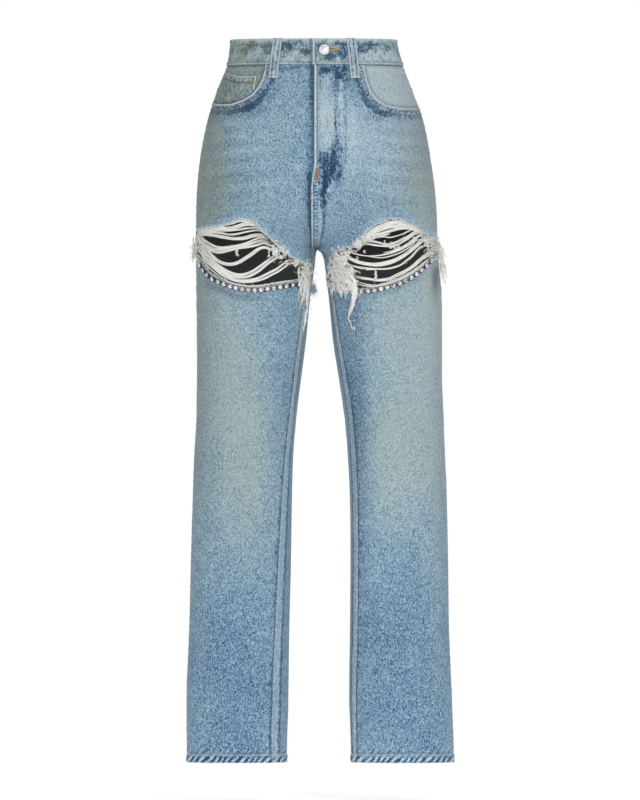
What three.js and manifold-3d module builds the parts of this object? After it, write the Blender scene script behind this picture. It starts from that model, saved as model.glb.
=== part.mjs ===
// Ripped straight-leg jeans, filled out as when worn, with crystal-edged rips across both thighs.
// Millimetres, +Z up. The origin is the middle of the waist opening, the front faces -Y,
// and the wearer's right is on -X. "down" is the distance below the top of the waistband.
import * as THREE from "three";
import { mergeVertices } from "three/addons/utils/BufferGeometryUtils.js";
import Module from "manifold-3d";

const wasm = await Module();
wasm.setup();

// Driving dimensions
const LENGTH = 1105;
const CROTCH = 319;
const BAND_HEIGHT = 40;
const HEM_HEIGHT = 12;
const WALL = 1.6;
const FOLDED_WALL = 2.6;
const BAND_WALL = 2.4;
const BAND_LIFT = 0.8;
const GAP = 0.4;
const UNDER_LIFT = -(WALL + 1.2);
const LINING_WALL = 1.2;
const FRONT_RISE = 70;
const SIDE_RISE = 130;
const BACK_RISE = 115;
const TORSO_ROUND = 2 / 2.3;
const LEG_ROUND = 2 / 2.4;
const YOKE_CENTRE = 100;
const YOKE_SIDE = 72;
const STONE_PITCH = 9.5;
const STONE_RADIUS = 4;
const STONE_HEIGHT = 3.4;
const SIDES = { right: -1, left: 1 };

const table = (names, rows) =>
  rows.map((row) => Object.fromEntries(names.map((name, i) => [name, row[i]])));

// Half widths of the hips to each side of the centre front, and the depths of front, side seam and back
const TORSO = table(
  ["down", "right", "left", "front", "side", "back"],
  [
    [0, 132, 122, -88, 4, 92],
    [40, 138, 132, -93, 4, 100],
    [73, 151, 144, -100, 5, 112],
    [122, 167, 162, -107, 7, 124],
    [184, 179, 174, -111, 9, 134],
    [245, 184, 181, -111, 11, 138],
    [319, 185, 184, -106, 12, 136],
  ],
);

// Each leg's outer and inner reach, its depth, and how far the inseam is turned to the front, in degrees
const LEG = table(
  ["down", "outerRight", "innerRight", "outerLeft", "innerLeft", "middle", "depth", "turnRight", "turnLeft"],
  [
    [319, 185, 0.2, 184, 0.2, 12, 104, 0, 0],
    [326, 185, 1.5, 185, 7, 12, 103, 8, 8],
    [345, 185, 3.5, 187, 12, 12, 101, 16, 15],
    [398, 184, 10.7, 190.5, 18.4, 12, 95, 24, 22],
    [460, 183.6, 16.8, 191.3, 24.5, 10, 87, 28, 27],
    [520, 183.6, 24.5, 191.3, 33.7, 8, 80, 28, 30],
    [580, 184.5, 32, 193.5, 42.6, 6, 75, 28, 31],
    [640, 188, 36.5, 196, 47.3, 6, 71.5, 30, 30],
    [700, 190, 38.2, 198.5, 50.3, 7, 69, 34, 29],
    [800, 193, 39.9, 200.6, 51.2, 9, 66.5, 39, 29],
    [900, 195.5, 42.3, 202, 50.5, 11, 65, 42, 28],
    [1000, 199.5, 43.7, 206, 49.3, 13, 64, 45, 26],
    [1105, 199, 46, 209.5, 52, 14, 63.5, 45, 23],
  ],
);

// Largest soft folds: where each is, how far it reaches and how high it stands
const FOLDS = table(
  ["side", "x", "down", "reachX", "reachDown", "lean", "height"],
  [
    [-1, -120, 415, 60, 9, 0.12, 2.2],
    [-1, -150, 398, 30, 8, 0.5, 2.4],
    [1, 120, 420, 55, 9, -0.15, 2.2],
    [1, 162, 400, 26, 9, -0.6, 2.6],
    [-1, -100, 560, 70, 16, 0.1, 1.6],
    [1, 115, 585, 70, 16, -0.1, 1.6],
    [-1, -110, 1000, 60, 18, 0.2, 1.8],
    [1, 130, 1020, 60, 16, -0.25, 1.8],
  ],
);

// Outline points are [x, down], both as seen from the front
const POCKET_RIGHT = [
  [-78, 38], [-79, 46], [-83, 61], [-90, 74.5], [-99, 85], [-111.5, 93], [-131, 99.5], [-143, 100],
  [-155, 98.5], [-161, 95.3], [-190, 94], [-190, 38],
];
const POCKET_LEFT = [
  [72, 38], [73, 47], [77, 65.5], [83, 82], [92, 93], [106, 101.5], [126, 105.5], [140, 106],
  [157, 104.5], [190, 104], [190, 38],
];
const COIN_POCKET = [
  [-143, 50], [-135, 52], [-121, 57], [-93, 57.5], [-95.5, 77], [-102, 84.5], [-112, 90], [-131, 96.5],
  [-143, 97],
];
const RIP_RIGHT = [
  [-190, 294], [-184, 292], [-170, 289], [-153, 287], [-133, 282], [-118, 276], [-104, 277], [-93, 284],
  [-83, 295], [-71, 305], [-60, 317], [-50, 327], [-31, 339], [-19, 345], [-13, 353], [-13, 367],
  [-24, 369], [-51, 372], [-71, 376], [-92, 378], [-112, 377], [-129, 373], [-146, 366], [-160, 358],
  [-172, 346], [-181, 336], [-190, 330],
];
const RIP_LEFT = [
  [24, 332], [31, 325], [41, 320], [63, 316], [67, 304], [78, 293], [93, 283], [112, 276], [126, 277],
  [139, 283], [153, 289], [165, 299], [181, 309], [195, 314], [195, 334], [184, 336], [175, 337],
  [160, 343], [146, 354], [133, 361], [119, 366], [106, 373], [92, 376], [78, 379],
  [66, 382], [45, 385], [28, 384], [19, 374], [18, 352], [21, 340],
];

// Lines of the crystal trim, as [x, down]
const TRIM_RIGHT = [[-177, 345], [-164, 362], [-144, 373], [-119, 381], [-92, 383.5], [-60, 379], [-29, 374.5]];
const TRIM_LEFT = [[172, 339], [160, 351], [144, 364], [126, 372.5], [107, 379], [86, 384], [69, 386]];

// Bundles of bare threads across the rips: width, then [x, down] points
const BUNDLES_RIGHT = [
  { width: 6, line: [[-205, 302], [-180, 297], [-150, 290], [-120, 285], [-96, 289], [-82, 300]] },
  { width: 5, line: [[-205, 307], [-181, 302], [-142, 304], [-118, 305], [-90, 300], [-72, 307]] },
  { width: 9, line: [[-205, 310], [-181, 307], [-160, 319], [-143, 323], [-126, 319], [-99, 312], [-78, 309], [-60, 315]] },
  { width: 8, line: [[-205, 315], [-182, 314], [-160, 334], [-140, 343], [-118, 339], [-99, 330], [-80, 320], [-58, 321]] },
  { width: 11, line: [[-205, 319], [-183, 322], [-160, 345], [-133, 361], [-112, 365], [-92, 357], [-71, 341], [-45, 329]] },
  { width: 7, line: [[-205, 324], [-182, 331], [-153, 358], [-126, 368], [-99, 370.5], [-71, 361], [-51, 347], [-28, 338]] },
  { width: 3, line: [[-205, 328], [-182, 338], [-160, 355], [-140, 367], [-110, 375], [-85, 376], [-50, 371], [-14, 362]] },
];
const BUNDLES_LEFT = [
  { width: 7, line: [[64, 310], [78, 303], [112, 291], [146, 289], [168, 299], [182, 309], [204, 310]] },
  { width: 5, line: [[61, 314], [71, 309], [105, 306], [126, 299.5], [153, 293], [180, 308], [204, 312]] },
  { width: 5, line: [[58, 316], [75, 314], [105, 314.5], [133, 305], [160, 297], [180, 311], [204, 314]] },
  { width: 7, line: [[20, 336], [40, 332], [66, 332], [98, 335], [126, 327], [153, 310], [180, 314], [204, 316]] },
  { width: 6, line: [[18, 342], [38, 338], [85, 346], [119, 340], [146, 323], [180, 318], [204, 318]] },
  { width: 3, line: [[18, 348], [51, 349], [99, 352], [126, 345], [150, 331], [180, 322], [204, 321]] },
  { width: 7, line: [[18, 356], [44, 365], [85, 368], [112, 365], [133, 356], [168, 329], [180, 325], [204, 323]] },
  { width: 4, line: [[18, 366], [58, 376], [98, 373.5], [126, 362.5], [165, 337], [180, 330], [204, 326]] },
];

// Strips behind the cloth that hold the bundles' ends, as [x, down]
const RIMS_RIGHT = [
  [[-206, 296], [-206, 308], [-206, 320], [-206, 334]],
  [[-92, 284], [-77, 301], [-61, 319], [-43, 331], [-24, 338], [-11, 349], [-12, 366]],
];
const RIMS_LEFT = [
  [[204, 304], [204, 313], [204, 322], [204, 332]],
  [[66, 302], [63, 318], [44, 331], [28, 338], [16, 350], [19, 370]],
];
const RIM_WIDTH = 7;

// Loose strands: width at the root, then [x, down, lift] from the root to the tip
const STRANDS_RIGHT = [
  { width: 3.4, line: [[-14, 350, -4.7], [-19, 358, -0.5], [-21, 371, 2.6], [-25, 395, 3], [-29, 418, 2.4]] },
  { width: 3, line: [[-13, 352, -4.7], [-18, 360, -0.5], [-17, 372, 2.6], [-14, 400, 3], [-17, 430, 3], [-19, 457, 2]] },
  { width: 3, line: [[-14, 354, -4.7], [-18.5, 361, -0.5], [-19, 373, 2.6], [-20, 400, 3.6], [-15, 422, 3]] },
  { width: 2.6, line: [[-15, 352, -4.7], [-20, 360, -0.5], [-24, 371, 2.6], [-31, 392, 3]] },
  { width: 2.4, line: [[-206, 316, -4.7], [-196, 321, 0], [-198, 329, 4], [-202, 334, 8]] },
  { width: 2.4, line: [[-206, 322, -4.7], [-195, 327, 0], [-195, 334, 4], [-199, 341, 7]] },
];
const STRANDS_LEFT = [
  { width: 4.4, line: [[19, 358, -4.7], [34, 364, -1.2], [55, 376, 1], [62, 389, 3], [57, 408, 3.4], [50, 428, 3], [61, 448, 2]] },
  { width: 4, line: [[18, 352, -4.7], [30, 360, -1], [52, 374, 1.4], [58, 390, 4.6], [53, 410, 5]] },
  { width: 3.4, line: [[19, 362, -4.7], [28, 369, -1], [36, 384, 2.6], [40, 398, 3]] },
  { width: 3.4, line: [[19, 366, -4.7], [27, 372, -1], [28, 385, 2.6], [24, 396, 3]] },
  { width: 3, line: [[17, 346, -4.7], [24, 352, -1], [20, 366, 2.6], [19, 384, 3.4]] },
  { width: 3, line: [[18, 356, -4.7], [27, 360, -1], [30, 374, 1.4], [46, 386, 2.6], [45, 396, 3]] },
  { width: 2.8, line: [[204, 311, -4.7], [194, 316, 0], [196, 332, 4], [198, 350, 8], [199, 370, 11]] },
  { width: 2.6, line: [[204, 317, -4.7], [193, 323, 0], [192, 338, 3], [195, 360, 6]] },
  { width: 2.6, line: [[204, 323, -4.7], [192, 329, 0], [188, 344, 3], [190, 366, 4]] },
];
const STRAND_WALL = 1;
const RIM_LIFT = -4.8;
const BUNDLE_LIFT = -4.4;

// Fasteners, as [x, down]
const BUTTON = { at: [11, 17.7], radius: 8.5, height: 3.8 };
const RIVETS = [
  { name: "rivet_right_pocket", at: [-75.4, 46], radius: 3.6, lift: 0.3 },
  { name: "rivet_left_pocket", at: [67.3, 45.2], radius: 3.9, lift: 0.3 },
  { name: "rivet_coin_pocket", at: [-99, 64], radius: 3, lift: -0.3 },
];

const COLOURS = {
  denim: { color: 0x87a2b2, roughness: 0.9, metalness: 0 },
  band: { color: 0x7f98a8, roughness: 0.9, metalness: 0 },
  lining: { color: 0xd5d2c6, roughness: 0.9, metalness: 0 },
  thread: { color: 0xe6e3d8, roughness: 0.95, metalness: 0 },
  crystal: { color: 0xe4e6ea, roughness: 0.1, metalness: 0.3 },
  silver: { color: 0xc9cbce, roughness: 0.3, metalness: 1 },
};

// Smooth value of one column of a table at a distance down
function lookUp(rows, column, down) {
  const last = rows.length - 1;
  if (down <= rows[0].down) return rows[0][column];
  if (down >= rows[last].down) return rows[last][column];
  const k = rows.findIndex((row) => row.down > down) - 1;
  const slope = (i) => {
    if (i === 0 || i === last) return 0;
    return (rows[i + 1][column] - rows[i - 1][column]) / (rows[i + 1].down - rows[i - 1].down);
  };
  const span = rows[k + 1].down - rows[k].down;
  const t = (down - rows[k].down) / span;
  const bend = t * t * (3 - 2 * t);
  const leaving = (t - 2 * t * t + t * t * t) * span * slope(k);
  const arriving = (t * t * t - t * t) * span * slope(k + 1);
  return rows[k][column] * (1 - bend) + rows[k + 1][column] * bend + leaving + arriving;
}

const mix = (a, b, t) => a + (b - a) * t;
const rounded = (value, power) => Math.sign(value) * Math.abs(value) ** power;
const sideName = (side) => (side < 0 ? "Right" : "Left");

// A point round one leg: angle 0 is its innermost line, a quarter turn is its front
function legPoint(side, angle, down) {
  const outer = lookUp(LEG, "outer" + sideName(side), down);
  const inner = lookUp(LEG, "inner" + sideName(side), down);
  const x = (outer + inner) / 2 - ((outer - inner) / 2) * rounded(Math.cos(angle), LEG_ROUND);
  const depth = lookUp(LEG, "depth", down) * rounded(Math.sin(angle), LEG_ROUND);
  return new THREE.Vector3(side * x, lookUp(LEG, "middle", down) - depth, -down);
}

// A point round one half of the hips: s is 0 at the centre seam and 1 at the side seam
function torsoPoint(side, face, s, down) {
  const width = lookUp(TORSO, side < 0 ? "right" : "left", down);
  const seam = lookUp(TORSO, "side", down);
  const far = lookUp(TORSO, face, down);
  const turn = (Math.PI / 2) * s;
  const x = width * rounded(Math.sin(turn), TORSO_ROUND);
  const y = seam + (far - seam) * rounded(Math.cos(turn), TORSO_ROUND);
  return new THREE.Vector3(side * x, y, -down);
}

// How far the cloth has changed from leg to hips, from 0 at the crotch to 1: at once at the crotch seam,
// which curves under the body, and softly towards the side
function aboveCrotch(face, s, down) {
  const rise = mix(face === "front" ? FRONT_RISE : BACK_RISE, SIDE_RISE, s);
  const height = THREE.MathUtils.clamp((CROTCH - down) / rise, 0, 1);
  const power = mix(0.5, 1.5, THREE.MathUtils.smoothstep(s, 0, 0.5));
  return (1 - (1 - height) ** 2) ** power;
}

// The cloth's outer surface: s runs from the centre seam or inseam to the side seam
function skin(side, face, s, down) {
  const legDown = Math.max(down, CROTCH);
  const turn = THREE.MathUtils.degToRad(lookUp(LEG, "turn" + sideName(side), legDown));
  const angle = face === "front" ? mix(turn, Math.PI, s) : mix(turn, -Math.PI, s);
  const leg = legPoint(side, angle, legDown).setZ(-down);
  return leg.lerp(torsoPoint(side, face, s, down), aboveCrotch(face, s, down));
}

function foldHeight(side, face, point) {
  if (face !== "front") return 0;
  let height = 0;
  for (const fold of FOLDS.filter((f) => f.side === side)) {
    const across = (point.x - fold.x) / fold.reachX;
    const along = (-point.z - fold.down - fold.lean * (point.x - fold.x)) / fold.reachDown;
    height += fold.height * Math.exp(-across * across - along * along);
  }
  return height;
}

// A point of the outer surface with its outward normal
function surface(side, face, s, down) {
  const step = 0.004;
  const stepDown = 1.5;
  const at = (u, v) => skin(side, face, THREE.MathUtils.clamp(u, 0, 1), v);
  const across = at(s + step, down).sub(at(s - step, down));
  const along = at(s, down + stepDown).sub(at(s, down - stepDown));
  const normal = across.cross(along).normalize();
  normal.multiplyScalar(side * (face === "front" ? -1 : 1));
  const share = Math.exp(-(((CROTCH - down) / 5) ** 2) - (s / 0.05) ** 2);
  const pinch = new THREE.Vector3(-0.6 * side, 0, -0.8);
  normal.lerp(pinch, Math.min(1, share * 1.4)).normalize();
  if (s < 0.01 && down < CROTCH && side * normal.x > 0) normal.setX(0).normalize();
  const point = at(s, down);
  return { point: point.addScaledVector(normal, foldHeight(side, face, point)), normal };
}

// The place on the front or back that shows at x. From TURN inside the outline, x is counted on round the
// side as a length on the cloth.
const TURN = 2.5;
const HALF_ROUND = 300;
function facing(face, x, down, lift) {
  const side = x < 0 ? -1 : 1;
  const turning = side * skin(side, face, 1, down).x - TURN;
  const target = Math.min(side * x, turning);
  let low = 0;
  let high = 1;
  for (let i = 0; i < 30; i += 1) {
    const s = (low + high) / 2;
    if (side * skin(side, face, s, down).x < target) low = s;
    else high = s;
  }
  const s = Math.min(low + (side * x - target) / HALF_ROUND, 0.995);
  const { point, normal } = surface(side, face, s, down);
  return { point: point.addScaledVector(normal, lift), normal };
}

// A closed mesh between an outer and an inner grid of points
function closedGrid(outer, inner) {
  const rows = outer.length;
  const columns = outer[0].length;
  const positions = [];
  for (const grid of [outer, inner]) for (const row of grid) for (const p of row) positions.push(p.x, p.y, p.z);
  const at = (layer, i, j) => layer * rows * columns + i * columns + j;
  const index = [];
  const quad = (a, b, c, d) => index.push(a, b, c, a, c, d);
  for (let i = 0; i + 1 < rows; i += 1)
    for (let j = 0; j + 1 < columns; j += 1) {
      quad(at(0, i, j), at(0, i, j + 1), at(0, i + 1, j + 1), at(0, i + 1, j));
      quad(at(1, i, j), at(1, i + 1, j), at(1, i + 1, j + 1), at(1, i, j + 1));
    }
  for (let i = 0; i + 1 < rows; i += 1) {
    quad(at(0, i, 0), at(0, i + 1, 0), at(1, i + 1, 0), at(1, i, 0));
    quad(at(0, i, columns - 1), at(1, i, columns - 1), at(1, i + 1, columns - 1), at(0, i + 1, columns - 1));
  }
  for (let j = 0; j + 1 < columns; j += 1) {
    quad(at(0, 0, j), at(1, 0, j), at(1, 0, j + 1), at(0, 0, j + 1));
    quad(at(0, rows - 1, j), at(0, rows - 1, j + 1), at(1, rows - 1, j + 1), at(1, rows - 1, j));
  }
  const geometry = new THREE.BufferGeometry();
  geometry.setAttribute("position", new THREE.Float32BufferAttribute(positions, 3));
  geometry.setIndex(index);
  return facedOut(geometry);
}

// The same closed mesh with its faces turned outwards
function facedOut(geometry) {
  const p = geometry.getAttribute("position");
  const index = geometry.getIndex().array;
  const corner = (k) => new THREE.Vector3().fromBufferAttribute(p, index[k]);
  let volume = 0;
  for (let k = 0; k < index.length; k += 3) volume += corner(k).dot(corner(k + 1).cross(corner(k + 2)));
  if (volume < 0)
    for (let k = 0; k < index.length; k += 3) [index[k + 1], index[k + 2]] = [index[k + 2], index[k + 1]];
  return geometry;
}

// A piece of cloth: place(u, v) gives its points, each with a normal, a lift and a wall
function cloth(place, acrossCount, alongCount) {
  const outer = [];
  const inner = [];
  for (let j = 0; j <= alongCount; j += 1) {
    const outerRow = [];
    const innerRow = [];
    for (let i = 0; i <= acrossCount; i += 1) {
      const { point, normal, wall } = place(i / acrossCount, j / alongCount);
      outerRow.push(point);
      innerRow.push(point.clone().addScaledVector(normal, -wall));
    }
    outer.push(outerRow);
    inner.push(innerRow);
  }
  return closedGrid(outer, inner);
}

const onSkin = (side, face, s, down, lift, wall) => {
  const { point, normal } = surface(side, face, s, down);
  return { point: point.addScaledVector(normal, lift), normal, wall };
};

// Booleans on closed meshes
function solidOf(geometry) {
  const bare = geometry.clone();
  for (const name of Object.keys(bare.attributes)) if (name !== "position") bare.deleteAttribute(name);
  const merged = mergeVertices(bare, 1e-4);
  return new wasm.Manifold(
    new wasm.Mesh({
      numProp: 3,
      vertProperties: new Float32Array(merged.getAttribute("position").array),
      triVerts: new Uint32Array(merged.getIndex().array),
    }),
  );
}

function geometryOf(solid) {
  const mesh = solid.getMesh();
  const geometry = new THREE.BufferGeometry();
  geometry.setAttribute("position", new THREE.BufferAttribute(new Float32Array(mesh.vertProperties), 3));
  geometry.setIndex(new THREE.BufferAttribute(new Uint32Array(mesh.triVerts), 1));
  return geometry;
}

const cut = (geometry, tools) =>
  geometryOf(tools.reduce((solid, tool) => solid.subtract(solidOf(tool)), solidOf(geometry)));
const joined = (geometries) =>
  geometryOf(geometries.map(solidOf).reduce((whole, piece) => whole.add(piece)));

// A prism through the front: its outline is seen from the front, and it runs from near to far
function prism(outline, near, far) {
  const shape = new THREE.Shape(outline.map(([x, down]) => new THREE.Vector2(x, -down)));
  const body = new THREE.ExtrudeGeometry(shape, { depth: far - near, bevelEnabled: false });
  return body.rotateX(Math.PI / 2).translate(0, far, 0);
}

// Points of a smooth line through the given ones
function smoothLine(points, count) {
  const curve = new THREE.CatmullRomCurve3(points.map(([x, down, lift = 0]) => new THREE.Vector3(x, down, lift)));
  return curve.getSpacedPoints(count);
}

// A flat strip of cloth or thread along a line on the front
function strip(points, count, widthAt, wall, liftOf) {
  const line = smoothLine(points, count);
  const places = line.map((p) => facing("front", p.x, p.y, liftOf(p)));
  const rows = places.map(({ point, normal }, i) => {
    const before = places[Math.max(i - 1, 0)].point;
    const after = places[Math.min(i + 1, places.length - 1)].point;
    const sideways = after.clone().sub(before).cross(normal).normalize();
    const half = widthAt(i / count) / 2;
    const edges = [-half, half].map((w) => point.clone().addScaledVector(sideways, w));
    return { edges, under: edges.map((edge) => edge.clone().addScaledVector(normal, -wall)) };
  });
  return closedGrid(rows.map((row) => row.edges), rows.map((row) => row.under));
}

const EDGE = 0.0009;
const acrossPanel = (u) => mix(EDGE, 1 - EDGE, u);
const FRONT_ROWS = [
  40.4, 72, 95, 120, 150, 190, 235, 275, 300, 312, 318.8, 326, 338, 356, 385, 398, 410, 424, 470, 540, 580, 630,
  700, 800, 900, 985, 1015, 1050, 1093, 1093.4, 1105,
];
const BACK_ROWS = [
  0, 0.35, 0.7, 232, 262, 285, 302, 312, 318.8, 326, 338, 356, 385, 430, 500, 570, 640, 720, 820, 930, 1040,
  1093, 1093.4, 1105,
];
const FRONT_COLUMNS = 14;
const BACK_COLUMNS = 11;
const hemmed = (down) => (down > LENGTH - HEM_HEIGHT ? FOLDED_WALL : WALL);
const yokeLine = (s) => mix(YOKE_CENTRE, YOKE_SIDE, s);
const RIP_FAR_Y = 2;
const POCKET_FAR_Y = 40;
const NEAR_Y = -200;

function frontPanel(side, rip, pocket) {
  const place = (u, v) => {
    const down = FRONT_ROWS[Math.round(v * (FRONT_ROWS.length - 1))];
    return onSkin(side, "front", acrossPanel(u), down, 0, hemmed(down));
  };
  const panel = cloth(place, FRONT_COLUMNS, FRONT_ROWS.length - 1);
  return cut(panel, [prism(rip, NEAR_Y, RIP_FAR_Y), prism(pocket, NEAR_Y, POCKET_FAR_Y)]);
}

function backPanel(side) {
  const place = (u, v) => {
    const s = acrossPanel(u);
    const row = BACK_ROWS[Math.round(v * (BACK_ROWS.length - 1))];
    const top = yokeLine(s) + GAP / 2;
    const down = row < 1 ? mix(top, 232, row) : row;
    return onSkin(side, "back", s, down, 0, hemmed(down));
  };
  return cloth(place, BACK_COLUMNS, BACK_ROWS.length - 1);
}

function yoke(side) {
  const place = (u, v) => {
    const s = acrossPanel(u);
    const down = mix(BAND_HEIGHT + GAP, yokeLine(s) - GAP / 2, v);
    return onSkin(side, "back", s, down, 0, WALL);
  };
  return cloth(place, 10, 3);
}

function backPocket(side) {
  const place = (u, v) => {
    const spread = mix(0.225, 0.195, v);
    const s = 0.37 + (2 * u - 1) * spread;
    const point = 16 * (1 - Math.abs(2 * u - 1));
    return onSkin(side, "back", s, 122 + v * (120 + point), 2.4, 1.2);
  };
  return cloth(place, 8, 6);
}

function pocketFacing(side, firstS) {
  const place = (u, v) =>
    onSkin(side, "front", mix(firstS, 1 - EDGE, u), mix(BAND_HEIGHT + GAP, 118, v), UNDER_LIFT, LINING_WALL);
  return cloth(place, 7, 4);
}

function coinPocket() {
  const place = (u, v) => onSkin(-1, "front", mix(0.38, 0.86, u), mix(45, 104, v), -0.6, 0.9);
  return geometryOf(solidOf(cloth(place, 6, 4)).intersect(solidOf(prism(COIN_POCKET, NEAR_Y, POCKET_FAR_Y))));
}

function flyShield() {
  const place = (u, v) => {
    const down = mix(BAND_HEIGHT + 3, 205, v);
    const right = mix(34, 20, v ** 4);
    return { ...facing("front", mix(-9, right, u), down, UNDER_LIFT), wall: LINING_WALL };
  };
  return cloth(place, 4, 7);
}

// The waistband, from the hidden end under the button to the end that lies on top
function waistband() {
  const under = BAND_LIFT - BAND_WALL - GAP;
  const stations = [
    [1, "front", 0.24, under], [1, "front", 0.12, under], [1, "front", 0, under],
    [-1, "front", 0.08, under], [-1, "front", 0.16, under * 0.7], [-1, "front", 0.26, 0.2],
  ];
  const round = (side, face, from, to, count) => {
    for (let k = 1; k <= count; k += 1) stations.push([side, face, mix(from, to, k / count), BAND_LIFT]);
  };
  round(-1, "front", 0.26, 1, 8);
  round(-1, "back", 1, 0, 10);
  round(1, "back", 0, 1, 10);
  round(1, "front", 1, 0, 11);
  stations.push([-1, "front", 0.03, BAND_LIFT]);
  const place = (u, v) => {
    const [side, face, s, lift] = stations[Math.round(v * (stations.length - 1))];
    return onSkin(side, face, s, mix(0, BAND_HEIGHT, u), lift, BAND_WALL);
  };
  return cloth(place, 2, stations.length - 1);
}

// A belt loop stands a little off the waistband between its two sewn ends
const LOOP_WIDTH = 13.5;
const LOOP_WALL = 1.3;
const LOOP_TOP = -0.6;
const LOOP_BOTTOM = 61;
function beltLoop(face, topX, bottomX) {
  const place = (u, v) => {
    const down = mix(LOOP_TOP, LOOP_BOTTOM, v);
    const onBand = BAND_LIFT * (1 - THREE.MathUtils.smoothstep(v, 0.7, 0.95));
    const bow = 1.8 * Math.sin(Math.PI * Math.min(v / 0.8, 1));
    const lift = GAP + LOOP_WALL + onBand + bow;
    return { ...facing(face, mix(topX, bottomX, v) + (u - 0.5) * LOOP_WIDTH, down, lift), wall: LOOP_WALL };
  };
  return cloth(place, 2, 8);
}

// A turned shape set on the front with its axis along the cloth's normal
function turned(profile, segments, [x, down], lift) {
  const { point, normal } = facing("front", x, down, lift);
  const body = new THREE.LatheGeometry(profile.map(([r, h]) => new THREE.Vector2(r, h)), segments);
  const stand = new THREE.Quaternion().setFromUnitVectors(new THREE.Vector3(0, 1, 0), normal);
  return body.applyQuaternion(stand).translate(point.x, point.y, point.z);
}

function button() {
  const { at, radius, height } = BUTTON;
  const profile = [
    [0, 0], [radius * 0.62, 0], [radius * 0.62, height * 0.35], [radius, height * 0.42], [radius, height * 0.7],
    [radius * 0.86, height * 0.95], [radius * 0.45, height * 0.82], [0, height * 0.8],
  ];
  return turned(profile, 24, at, BAND_LIFT + 0.3);
}

function rivet({ at, radius, lift }) {
  const profile = [[0, 0], [radius, 0], [radius, 0.5], [radius * 0.8, 1], [radius * 0.45, 0.8], [radius * 0.3, 1.2], [0, 1.3]];
  return turned(profile, 14, at, lift);
}

// A narrow band along the rip's lower edge with faceted stones on it
function crystalTrim(points) {
  const band = strip(points, 18, () => 6.5, 0.9, () => 1.5);
  const length = new THREE.CatmullRomCurve3(points.map(([x, down]) => new THREE.Vector3(x, down, 0))).getLength();
  const count = Math.round(length / STONE_PITCH);
  const profile = [
    [0, 0], [STONE_RADIUS, STONE_HEIGHT * 0.35], [STONE_RADIUS * 0.55, STONE_HEIGHT], [0, STONE_HEIGHT],
  ];
  const stones = smoothLine(points, count).map((p) => turned(profile, 8, [p.x, p.y], 1.1));
  return joined([band, ...stones]);
}

// Thread bundles across a rip and loose strands at its ends, all rooted in strips behind the cloth
function threadWeb(bundles, rims, strands) {
  const pieces = rims.map((points) => strip(points, 7, () => RIM_WIDTH, STRAND_WALL, () => RIM_LIFT));
  for (const { width, line } of bundles)
    pieces.push(strip(line, 9, (t) => width * (0.75 + 0.25 * Math.sin(Math.PI * t)), STRAND_WALL, () => BUNDLE_LIFT));
  for (const { width, line } of strands)
    pieces.push(strip(line, 7, (t) => width * (1 - 0.75 * t), STRAND_WALL, (p) => p.z));
  return joined(pieces);
}

const jeans = new THREE.Group();
function add(name, geometry, look) {
  const mesh = new THREE.Mesh(geometry, new THREE.MeshStandardMaterial(COLOURS[look]));
  mesh.name = name;
  jeans.add(mesh);
}

add("waistband", waistband(), "band");
add("front_panel_right", frontPanel(-1, RIP_RIGHT, POCKET_RIGHT), "denim");
add("front_panel_left", frontPanel(1, RIP_LEFT, POCKET_LEFT), "denim");
for (const [name, side] of Object.entries(SIDES)) {
  add("back_panel_" + name, backPanel(side), "denim");
  add("yoke_" + name, yoke(side), "denim");
  add("back_pocket_" + name, backPocket(side), "denim");
}
add("pocket_facing_right", pocketFacing(-1, 0.34), "denim");
add("pocket_facing_left", pocketFacing(1, 0.34), "denim");
add("coin_pocket", coinPocket(), "denim");
add("fly_shield", flyShield(), "denim");
add("belt_loop_front_right", beltLoop("front", -58.6, -66.4), "denim");
add("belt_loop_front_left", beltLoop("front", 50.6, 58), "denim");
add("belt_loop_back_right", beltLoop("back", -88, -96), "denim");
add("belt_loop_back_left", beltLoop("back", 82, 90), "denim");
add("belt_loop_centre_back", beltLoop("back", 0.1, 0.1), "denim");
add("threads_right", threadWeb(BUNDLES_RIGHT, RIMS_RIGHT, STRANDS_RIGHT), "thread");
add("threads_left", threadWeb(BUNDLES_LEFT, RIMS_LEFT, STRANDS_LEFT), "thread");
add("crystal_trim_right", crystalTrim(TRIM_RIGHT), "crystal");
add("crystal_trim_left", crystalTrim(TRIM_LEFT), "crystal");
add("button", button(), "silver");
for (const one of RIVETS) add(one.name, rivet(one), "silver");

export default jeans;
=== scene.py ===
# Ripped straight-leg jeans, filled out as when worn: washed denim shells with their seams, puckers and fades,
# frayed rips with bare white threads, crystal trims, metal button and rivets.
# Sizes are in millimetres until a mesh is made. "down" is the distance below the top of the waistband.
import math

import bpy
import numpy as np
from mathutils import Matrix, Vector


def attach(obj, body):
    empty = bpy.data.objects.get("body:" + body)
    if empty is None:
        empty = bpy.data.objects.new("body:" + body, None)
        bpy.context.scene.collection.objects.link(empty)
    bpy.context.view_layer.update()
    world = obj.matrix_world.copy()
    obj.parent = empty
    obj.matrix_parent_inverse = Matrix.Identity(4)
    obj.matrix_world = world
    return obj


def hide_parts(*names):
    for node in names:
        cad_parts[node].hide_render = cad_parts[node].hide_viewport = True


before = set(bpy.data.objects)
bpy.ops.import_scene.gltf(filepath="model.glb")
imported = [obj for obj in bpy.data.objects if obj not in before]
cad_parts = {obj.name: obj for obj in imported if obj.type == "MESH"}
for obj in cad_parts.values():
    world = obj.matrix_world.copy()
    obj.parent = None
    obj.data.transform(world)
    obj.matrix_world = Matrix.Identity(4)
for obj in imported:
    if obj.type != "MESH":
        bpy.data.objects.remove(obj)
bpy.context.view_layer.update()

MM = 0.001
LENGTH = 1105
CROTCH = 319
BAND_HEIGHT = 40
HEM_HEIGHT = 12
WALL = 1.3
BAND_WALL = 2.2
LINING_WALL = 1.0
BAND_LIFT = 0.8
UNDER_LIFT = -2.6
EDGE = 0.0009
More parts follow.
